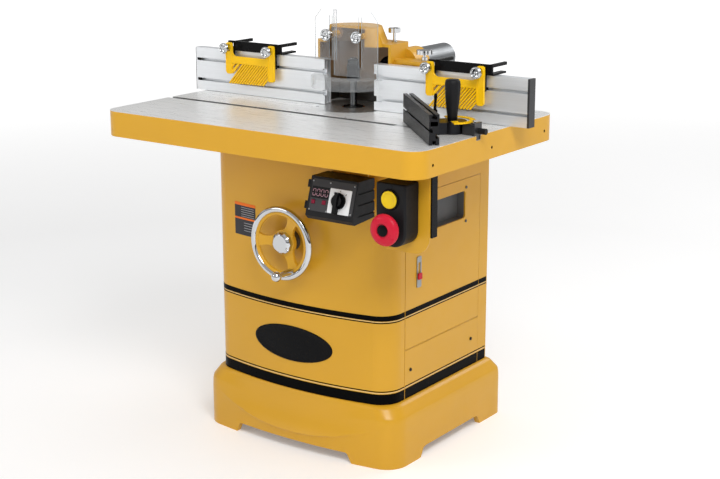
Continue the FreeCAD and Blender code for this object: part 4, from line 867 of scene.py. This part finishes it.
# ---------- control panel
PANEL_SLOPE = Vector((0, -28, -90)).normalized()
PANEL_OUT = Vector((0, -90, 28)).normalized()
PANEL_TOP_Y = -250
SWITCH_ACROSS, SWITCH_DOWN = 97, 54
BUTTON_WELL_HALF = 5.6
PANEL_SCREW = ((0, 0.4), (2.2, 0.4), (2.2, 1.2), (1.5, 1.7), (0, 1.8))
PANEL_SCREW_PLACES = ((9, 12), (9, 84), (62, 12), (62, 84), (136, 12), (136, 82))
DIGIT_WIDTH, DIGIT_HEIGHT, DIGIT_BAR = 10.0, 18.0, 1.7


def on_panel(across=0.0, down=0.0):
    """Frame on the tilted face: right, up the slope, and out, from its upper left corner."""
    corner = Vector((PANEL_LOW.x, TABLE_Y + PANEL_TOP_Y * MM, PANEL_HIGH.z))
    origin = corner + X_AXIS * across * MM + PANEL_SLOPE * down * MM
    return axes_matrix(origin, X_AXIS, -PANEL_SLOPE, PANEL_OUT)


def zero_digit(build, matrix, left, bottom):
    """Six slim bars in a ring, in millimetres on the panel."""
    right, top = left + DIGIT_WIDTH, bottom + DIGIT_HEIGHT
    middle = (bottom + top) / 2
    for y in (top - DIGIT_BAR, bottom):
        build.prism(matrix, rectangle(left + DIGIT_BAR, right - DIGIT_BAR, y, y + DIGIT_BAR), 0.9, 1.1)
    for x in (left, right - DIGIT_BAR):
        for low, high in ((middle + DIGIT_BAR, top - DIGIT_BAR),
                          (bottom + DIGIT_BAR, middle - DIGIT_BAR)):
            build.prism(matrix, rectangle(x, x + DIGIT_BAR, low, high), 0.9, 1.1)


def cut_switch_hole(target):
    hole = Build().lathe(on_panel(SWITCH_ACROSS, SWITCH_DOWN), [(0, -3), (6, -3), (6, 4), (0, 4)], 32)
    subtract(target, hole)


def control_panel():
    face = on_panel()
    fascia = Build().prism(face, rounded_rectangle(7, 141, -87, -6, 4), 0.05, 0.45)
    fascia = fascia.piece("panel_fascia", PANEL_GREY, "cabinet", "dark_grey", bevel=0.15)
    wells = Build()
    for across, down in ((18, 64), (51, 63)):
        wells.prism(face, rectangle(across - BUTTON_WELL_HALF, across + BUTTON_WELL_HALF,
                                    -down - BUTTON_WELL_HALF, -down + BUTTON_WELL_HALF), -2, 2)
    subtract(fascia, wells)
    cut_switch_hole(fascia)
    window = Build().prism(face, rounded_rectangle(9, 63, -54, -25, 1.5), 0.45, 0.9)
    window.piece("display_window", SATIN_BLACK, "cabinet", "dark_plastic", bevel=0.15)
    digits = Build()
    for index in range(4):
        zero_digit(digits, face, 12 + 12.6 * index, -49)
    digits.piece("display_digits", GLOW, "cabinet", "red_plastic")
    plate = Build().prism(face, rounded_rectangle(65, 131, -86, -24, 2), 0.5, 1.9)
    plate = plate.piece("switch_plate", WHITE, "cabinet", "dark_grey", bevel=0.3)
    cut_switch_hole(plate)
    marks = Build()
    for angle in (-45, 0, 45):
        turned = on_panel(SWITCH_ACROSS, SWITCH_DOWN) @ Matrix.Rotation(math.radians(-angle), 4, "Z")
        marks.prism(turned, rectangle(-0.7, 0.7, 23.1, 27.9), 1.9, 2.05)
    marks.piece("switch_plate_marks", SATIN_BLACK, "cabinet", "dark_plastic")
    screws = Build()
    for across, down in PANEL_SCREW_PLACES:
        screws.lathe(on_panel(across, down), PANEL_SCREW, 16)
    screws.piece("panel_face_screws", ZINC, "cabinet", "steel")
    latches = Build()
    for down in (20, 74):
        latches.prism(face, rounded_rectangle(-8, 1, -down - 10, -down + 10, 1.5), -10, -0.5)
    latches.piece("panel_side_latches", SATIN_BLACK, "cabinet", "dark_plastic", bevel=0.5)


# ---------- holes and latch
TABLE_HALF = 508
APRON_HOLE_Z = 863
HOLE_SHADE_PROFILE = ((3.82, -8), (3.97, -8), (3.97, -0.4), (3.82, -0.4), (3.82, -8))


def hole_shade_liners():
    """Thin black lining on the walls of the small holes, painted shade in the bores; the bores stay open."""
    film = Build()
    for side in (-1, 1):
        for y in (-268, 0, 268):
            rim = at(TABLE_HALF * side, y, APRON_HOLE_Z)
            film.lathe(axes_matrix(rim, Y_AXIS, Z_AXIS * side, X_AXIS * side), HOLE_SHADE_PROFILE, 32)
    for x, y in ((-80, -32), (89, -44)):
        film.lathe(Matrix.Translation(at(x, y, TABLE_Z / MM)), HOLE_SHADE_PROFILE, 32)
    film.piece("hole_shade_liners", VINYL_AND_BORE_SHADE, "cabinet", "dark_plastic")


def latch_slider():
    """Square finger tab on a stem that rides in the latch plate's slot."""
    low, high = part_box("latch_tab")
    middle = (low + high) / 2
    origin = facing_right(Vector((0, middle.y, middle.z)))
    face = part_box("latch_plate")[1].x / MM
    slider = Build().prism(origin, rounded_rectangle(-8.5, 8.5, -8.5, 8.5, 2), face + 0.4, high.x / MM)
    slider.prism(origin, rectangle(-2.6, 2.6, -5, 5), low.x / MM, face + 0.6)
    tab = slider.piece("latch_slider", RED, "latch", "red_plastic", bevel=0.8)
    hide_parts("latch_tab")


# ---------- start/stop switch
CASE_ROUND = 36
CASE_SHORTER = 17


def front_axis(low, high, y):
    """Frame at the middle of a box in x and z, facing the operator."""
    return facing_front(Vector(((low.x + high.x) / 2, y, (low.z + high.z) / 2)))


def switch_case():
    """Moulded case with a round lower end, rounded front edges and wells for its two buttons."""
    low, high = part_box("start_stop_box")
    left, right, top = low.x / MM, high.x / MM, high.z / MM
    middle = low.z / MM + CASE_SHORTER + CASE_ROUND
    outline = [(right, top), (left, top)]
    outline += arc_points(left + CASE_ROUND, middle, CASE_ROUND, 180, 90, 10)
    outline += arc_points(right - CASE_ROUND, middle, CASE_ROUND, 270, 90, 10)
    case = Build().prism(facing_front(Vector((0, high.y, 0))), outline, 0, (high.y - low.y) / MM)
    case = case.piece("switch_case", BLACK, "cabinet", "dark_plastic")
    start_low, start_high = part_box("start_button")
    for node, share in (("start_button", 0.76), ("stop_button", 0.40)):
        node_low, node_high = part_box(node)
        radius = max(share * (node_high.x - node_low.x) / 2 / MM, 14.3)
        centre = Vector(((start_low.x + start_high.x) / 2, low.y, (node_low.z + node_high.z) / 2))
        well = [(0, -30), (radius, -30), (radius, 2), (0, 2)]
        subtract(case, Build().lathe(facing_front(centre), well, 40))
    soften(case, 5, 4, 60)
    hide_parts("start_stop_box")


def switch_buttons():
    low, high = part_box("start_button")
    start_axis = front_axis(low, high, high.y)
    depth = (high.y - low.y) / MM
    outer = (high.x - low.x) / 2 / MM
    cap = Build().lathe(start_axis, [
        (0, 0), (0.74 * outer, 0), (0.74 * outer, depth - 4.2), (outer - 1, depth - 4.2),
        (outer, depth - 3.2), (outer, depth - 1), (outer - 1.2, depth), (0.80 * outer, depth),
        (0.72 * outer, depth - 1.2), (0.45 * outer, depth - 2.6), (0, depth - 3.2)], 64)
    cap = cap.piece("start_cap", BUTTON_YELLOW, "start", "yellow_plastic", 35)
    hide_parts("start_button")
    low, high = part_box("stop_button")
    stop_axis = front_axis(low, high, high.y)
    depth = (high.y - low.y) / MM
    outer = (high.x - low.x) / 2 / MM
    mushroom = ((0.80, 23.5), (0.93, 20), (0.99, 15), (1, 11), (0.95, 6.5), (0.84, 2.6), (0.70, 0.5),
                (0.58, 0), (0.47, 0.4), (0.43, 1.8), (0.42, 4), (0, 4.2))
    cap = Build().lathe(stop_axis, [(0, 0), (0.354 * outer, 0), (0.354 * outer, depth - 23)]
                        + [(share * outer, depth - back) for share, back in mushroom], 72)
    cap = cap.piece("stop_cap", RED, "stop", "red_plastic", 35)
    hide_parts("stop_button")
    boss = ((0, 4.1), (0.36, 4.1), (0.36, 2.2), (0.30, 1.2), (0, 0.8))
    centre = Build().lathe(stop_axis, [(share * outer, depth - back) for share, back in boss])
    centre.piece("stop_cap_centre", SATIN_BLACK, "stop", "dark_plastic", 35)
    low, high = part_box("start_stop_box")
    place = start_axis.translation
    bezel = Build().lathe(facing_front(Vector((place.x, low.y, place.z))), [
        (22.1, 0.05), (26, 0.05), (26, 1.6), (24.8, 2.6), (22.1, 2.6), (22.1, 0.05)], 64)
    bezel.piece("start_bezel", SATIN_BLACK, "cabinet", "dark_plastic", 35)
    screw = Build().lathe(facing_front(Vector((place.x + 2 * MM, low.y, high.z - 8 * MM))),
                          [(0, 0.02), (2.6, 0.02), (2.6, 0.9), (0, 1.2)], 20)
    screw.piece("switch_case_screw", BLACK_STEEL, "cabinet", "black_steel")


# ---------- dished knobs
KNOB_HEAD = 23


def dished_knobs():
    """Turned knobs with a rolled rim, a hollow face and a domed boss in it."""
    for node, body in KNOBS.items():
        low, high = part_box(node)
        radius = (high.x - low.x) / 2 / MM
        guard = node.startswith("guard")
        stud, collar, collar_start, shorter = (4.0, 9.0, 25.6, 8) if guard else (3.5, 8.0, 17.2, 4)
        end = (high.y - low.y) / MM - shorter
        head = [(collar, 23), (collar + 1, 20), (radius - 2, 15), (radius - 0.3, 10), (radius, 6),
                (radius - 0.5, 2.6), (radius - 1.8, 0.5), (radius - 3.2, 0), (radius - 4.6, 0.7),
                (radius - 5.6, 3), (radius - 6.6, 6.4), (6.4, 7.4), (5.8, 5.6), (4.4, 3.4),
                (2.4, 2.4), (0, 2.1)]
        squeeze = 1 - shorter / KNOB_HEAD
        profile = [(0, 0), (stud, 0), (stud, collar_start), (collar, collar_start)]
        profile += [(across, end - back * squeeze) for across, back in head]
        knob = Build().lathe(front_axis(low, high, high.y), profile)
        knob = knob.piece(node + "_turned", CHROME, body, "chrome")
        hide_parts(node)


# ---------- featherboards
COMB_BRIDGE_LOW = 993
FINGER_SLANT = Vector((0.669, 0.743))
FINGER_ACROSS = Vector((FINGER_SLANT.y, -FINGER_SLANT.x))
FINGERS = 14


def add_finger(build, matrix, foot, top, half, high):
    side = FINGER_ACROSS * half
    outline = [tuple(place) for place in (foot - side, foot + side, top + side, top - side)]
    build.prism(matrix, outline, 1.0, high)


def add_slotted_plate(build, matrix, outer, inner, low, high):
    """Plate with one opening; outer and inner have the same number of points."""
    outer_low, inner_low, outer_high, inner_high = (
        build.ring(matrix, outline, height) for height in (low, high) for outline in (outer, inner))
    build.join(outer_low, outer_high)
    build.join(inner_high, inner_low)
    build.join(outer_high, inner_high)
    build.join(inner_low, outer_low)


def featherboard(side):
    """Comb with raised arm edges and slanted spring fingers, each a bar of its own."""
    low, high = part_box("featherboard_" + side)
    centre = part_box("feather_knob_" + side + "_a")[0].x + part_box("feather_knob_" + side + "_b")[1].x
    matrix = facing_front(Vector((centre / 2, high.y, 0)))
    thick = (high.y - low.y) / MM
    board = Build()
    for offset, foot in ((-76, 962), (76, 950)):
        add_slotted_plate(board, matrix, rounded_rectangle(offset - 11, offset + 11, foot, 1051, 7),
                          rounded_rectangle(offset - 4.2, offset + 4.2, 1026, 1046, 4.1), 0.6, thick - 1.4)
        for edge in (offset - 11, offset + 7.6):
            board.prism(matrix, rectangle(edge, edge + 3.4, foot + 6, 1022), thick - 1.6, thick)
    bridge = [(-65.5, COMB_BRIDGE_LOW), (65.5, COMB_BRIDGE_LOW)]
    bridge += arc_points(51, 1028, 14.5, 0, -90, 8) + arc_points(-51, 1028, 14.5, -90, -90, 8)
    board.prism(matrix, bridge, 0.8, thick - 1.0)
    board.prism(matrix, rectangle(-65, 65, COMB_BRIDGE_LOW, COMB_BRIDGE_LOW + 4), thick - 1.2, thick)
    for index in range(FINGERS):
        foot = Vector((-76 + 9.4 * index, 935.5 + 0.2 * index))
        reach = min((994 - foot.y) / FINGER_SLANT.y, (66 - foot.x) / FINGER_SLANT.x)
        add_finger(board, matrix, foot, foot + FINGER_SLANT * reach, 2.1, thick - 0.8)
    for foot, top in (((-66, 966), (-40, 994)), ((-66, 985), (-57, 994))):
        add_finger(board, matrix, Vector(foot), Vector(top), 3.6, thick - 1.6)
    comb = board.piece("featherboard_comb_" + side, YELLOW, "comb_" + side, "yellow_plastic", bevel=0.5)
    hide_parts("featherboard_" + side)


# ---------- mitre gauge details
SCALE_TICKS = 19
SCALE_STEP = 8
GRIP_FLUTES = 8
INDEX_SCREW = ((0, -0.5), (2.2, -0.5), (2.2, 1.5), (4.6, 1.5), (5.2, 2.2), (5.2, 5.2), (4.6, 6), (0, 6.2))
LEVER_STUD = ((0, 0), (6.5, 0), (6.5, 9), (5, 11), (5, 37), (4, 38), (0, 38))
LEVER_ARM = ((0, -6), (4.2, -5), (4.6, 0), (3.6, 8), (3.4, 30), (4.2, 38), (4.4, 43), (3.2, 46.5), (0, 47.5))


def mitre_details():
    low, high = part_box("mitre_handle")
    pivot = (low + high) / 2
    scale_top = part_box("mitre_scale")[1].z / MM
    ticks = Build()
    for index in range(SCALE_TICKS):
        turn = math.radians(45 - 72 + SCALE_STEP * index)
        matrix = Matrix.Translation((pivot.x, pivot.y, 0)) @ Matrix.Rotation(turn, 4, "Z")
        inner = 50 if index % 3 else 46
        ticks.prism(matrix, rectangle(inner, 56, -0.3, 0.3), scale_top, scale_top + 0.12)
    ticks.piece("mitre_scale_ticks", SATIN_BLACK, "mitre_swing", "dark_plastic")
    height = (high.z - low.z) / MM
    foot = scale_top - low.z / MM - 2.3
    profile = [(0, 0), (6.0, 0), (6.0, foot), (11.0, foot), (11.6, foot + 4), (12.4, foot + 4.6),
               (12.8, foot + 12), (14.2, foot + 24), (16.4, foot + 40), (18.4, foot + 60),
               (19.6, foot + 80), (19.6, height - 14), (18.4, height - 6), (15.4, height - 2.2),
               (10.6, height - 1.4), (0, height - 1)]
    handle = Build().lathe(Matrix.Translation((pivot.x, pivot.y, low.z)), profile, 40)
    for vert in handle.mesh.verts:
        flat = vert.co.xy - pivot.xy
        if flat.length > 17 * MM:
            squeeze = 1 - 0.05 * (0.5 + 0.5 * math.cos(GRIP_FLUTES * math.atan2(flat.y, flat.x)))
            vert.co.xy = pivot.xy + flat * squeeze
    grip = handle.piece("mitre_grip_handle", BLACK, "mitre_grip", "dark_plastic", 60)
    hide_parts("mitre_handle")
    mitre_lever(pivot)
    low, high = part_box("mitre_bar")
    spot = Matrix.Translation((pivot.x + 64 * MM, (low.y + high.y) / 2, high.z))
    Build().lathe(spot, INDEX_SCREW, 24).piece("mitre_index_screw", CHROME, "mitre", "chrome", 35)


def mitre_lever(pivot):
    """Small cam lever on the back of the mitre fence."""
    slant = math.sqrt(0.5)
    along = Vector((slant, -slant, 0))
    away = Vector((slant, slant, 0))
    foot = Vector((pivot.x, pivot.y, 948 * MM)) - away * 66.6 * MM - along * 44 * MM
    lean = Matrix.Translation(foot + away * 32 * MM) @ Matrix.Rotation(math.radians(12), 4, away)
    lever = Build().lathe(axes_matrix(foot, along, Z_AXIS, away), LEVER_STUD, 28).lathe(lean, LEVER_ARM, 20)
    lever.piece("mitre_cam_lever", SATIN_BLACK, "mitre_swing", "dark_plastic", 45)


# ---------- small hardware
INSERT_SCREW = ((0, -0.6), (4.5, -0.6), (4.5, 0.12), (3.9, 0.15), (2.0, 0.15), (1.9, -0.3), (0, -0.3))
PANEL_SCREW_RADIUS = 4.5


def fence_plugs():
    """Black plugs that close the outer ends of the left board's T-slots."""
    plugs = Build()
    for z in (934.5, 992.5):
        origin = Vector((LEFT_LOW.x + FENCE_CAP, LEFT_LOW.y + 4 * MM, z * MM))
        plugs.prism(facing_front(origin), rectangle(0.2, 13, -3.8, 3.8), 0, 4.3)
    plugs.piece("fence_left_slot_plugs", SATIN_BLACK, "face_left", "dark_plastic", bevel=0.3)


def insert_screws():
    """Countersunk levelling screws in the outer insert ring."""
    low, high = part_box("table_inserts")
    centre = (low + high) / 2
    radius = (high.x - low.x) / 2 - 14 * MM
    screws = Build()
    for angle in (100, 220, 340):
        turn = math.radians(angle)
        spot = Vector((centre.x + radius * math.cos(turn), centre.y + radius * math.sin(turn), high.z))
        screws.lathe(Matrix.Translation(spot), INSERT_SCREW, 24)
    screws.piece("insert_screws", BLACK_STEEL, "cabinet", "black_steel")


def side_screw_recess_shade():
    """Black crosses on the two screws of the panel under the door: painted shade of their driver recesses.
    """
    long, narrow = 0.62 * PANEL_SCREW_RADIUS, 0.12 * PANEL_SCREW_RADIUS
    crosses = Build()
    for y, z in ((-35, 245), (268, 248)):
        head = facing_right(Vector((SHELL_HIGH.x + 2.5 * MM, TABLE_Y + y * MM, z * MM)))
        crosses.prism(head, rectangle(-long, long, -narrow, narrow), 0, 0.15)
        crosses.prism(head, rectangle(-narrow, narrow, -long, long), 0, 0.16)
    crosses.piece("side_screw_recess_shade", BLACK, "cabinet", "black_steel")


base_shape()
dome_cheek()
stripes()
door_gap_shade_strip()
badge()
front_label()
control_panel()
hole_shade_liners()
latch_slider()
switch_case()
switch_buttons()
dished_knobs()
featherboard("left")
featherboard("right")
mitre_details()
fence_plugs()
insert_screws()
side_screw_recess_shade()


# ---------- floor, light and camera
CAMERA_PLACE = (2333.5, -3096.2, 1573.4)
CAMERA_ANGLES = (35.75, 14.81, -0.1)
CAMERA_LENS = 73.46


def stage_floor():
    """Pale floor whose faint glow rises with distance, so that it fades into the background."""
    mesh = bmesh.new()
    bmesh.ops.create_grid(mesh, x_segments=1, y_segments=1, size=30)
    data = bpy.data.meshes.new("floor")
    mesh.to_mesh(data)
    mesh.free()
    floor = bpy.data.objects.new("floor", data)
    shader = Shader("pale_floor", (0.86, 0.86, 0.86), 0.6, Emission_Color=(1, 1, 1, 1))
    shader.drive("Base Color", shader.mix(shader.noise(1.5), (0.85, 0.85, 0.85), (0.88, 0.88, 0.88)))
    distance = shader.add("ShaderNodeVectorMath", operation="LENGTH")
    shader.feed(shader.coords, distance.inputs[0])
    shader.drive("Emission Strength", shader.ramp(distance.outputs["Value"], 0.20, 0.75, 2.5, 8.0))
    data.materials.append(shader.material)
    SCENE.collection.objects.link(floor)


def softbox(name, place, target, size, power):
    light = bpy.data.lights.new(name, "AREA")
    light.shape = "RECTANGLE"
    light.size, light.size_y = size
    light.energy = power
    lamp = bpy.data.objects.new(name, light)
    SCENE.collection.objects.link(lamp)
    lamp.location = place
    lamp.rotation_euler = (Vector(target) - Vector(place)).to_track_quat("-Z", "Y").to_euler()


def studio():
    """White to the camera; objects are lit by a room that is bright above and dim at the sides."""
    world = bpy.data.worlds.new("studio")
    world.use_nodes = True
    nodes = world.node_tree.nodes
    links = world.node_tree.links
    room = nodes["Background"]
    set_inputs(room, Strength=0.62)
    direction = nodes.new("ShaderNodeTexCoord")
    split = nodes.new("ShaderNodeSeparateXYZ")
    links.new(direction.outputs["Generated"], split.inputs[0])
    ramp = nodes.new("ShaderNodeValToRGB")
    first, last = ramp.color_ramp.elements
    first.position, first.color = 0.0, (0.10, 0.10, 0.10, 1)
    last.position, last.color = 1.0, (1.35, 1.35, 1.35, 1)
    for position, level in ((0.10, 0.14), (0.17, 0.95), (0.42, 1.0), (0.60, 0.45)):
        ramp.color_ramp.elements.new(position).color = (level, level, level, 1)
    links.new(split.outputs["Z"], ramp.inputs["Fac"])
    links.new(ramp.outputs["Color"], room.inputs["Color"])
    white = nodes.new("ShaderNodeBackground")
    set_inputs(white, Color=(1, 1, 1, 1), Strength=1.0)
    path = nodes.new("ShaderNodeLightPath")
    choice = nodes.new("ShaderNodeMixShader")
    links.new(path.outputs["Is Camera Ray"], choice.inputs[0])
    links.new(room.outputs[0], choice.inputs[1])
    links.new(white.outputs[0], choice.inputs[2])
    links.new(choice.outputs[0], nodes["World Output"].inputs["Surface"])
    SCENE.world = world
    softbox("key", (2.2, -1.9, 3.2), (0, 0, 0.5), (1.5, 1.5), 84)
    softbox("fill", (-2.6, -3.2, 2.4), (0, 0, 0.5), (1.8, 1.4), 24)
    softbox("rear", (1.2, 3.2, 2.6), (0, 0, 0.9), (2.2, 1.2), 34)


def camera():
    """Long lens to the right of the front, above table height, level but for a slight roll."""
    yaw, pitch, roll = (math.radians(angle) for angle in CAMERA_ANGLES)
    back = Vector((math.sin(yaw) * math.cos(pitch), -math.cos(yaw) * math.cos(pitch), math.sin(pitch)))
    data = bpy.data.cameras.new("camera")
    data.lens = CAMERA_LENS
    data.sensor_width = 36.0
    data.clip_end = 60
    view = bpy.data.objects.new("camera", data)
    SCENE.collection.objects.link(view)
    turn = back.to_track_quat("Z", "Y").to_matrix() @ Matrix.Rotation(roll, 3, "Z")
    view.matrix_world = Matrix.Translation(at(*CAMERA_PLACE)) @ turn.to_4x4()
    SCENE.camera = view


stage_floor()
studio()
camera()
SCENE.view_settings.view_transform = "Standard"
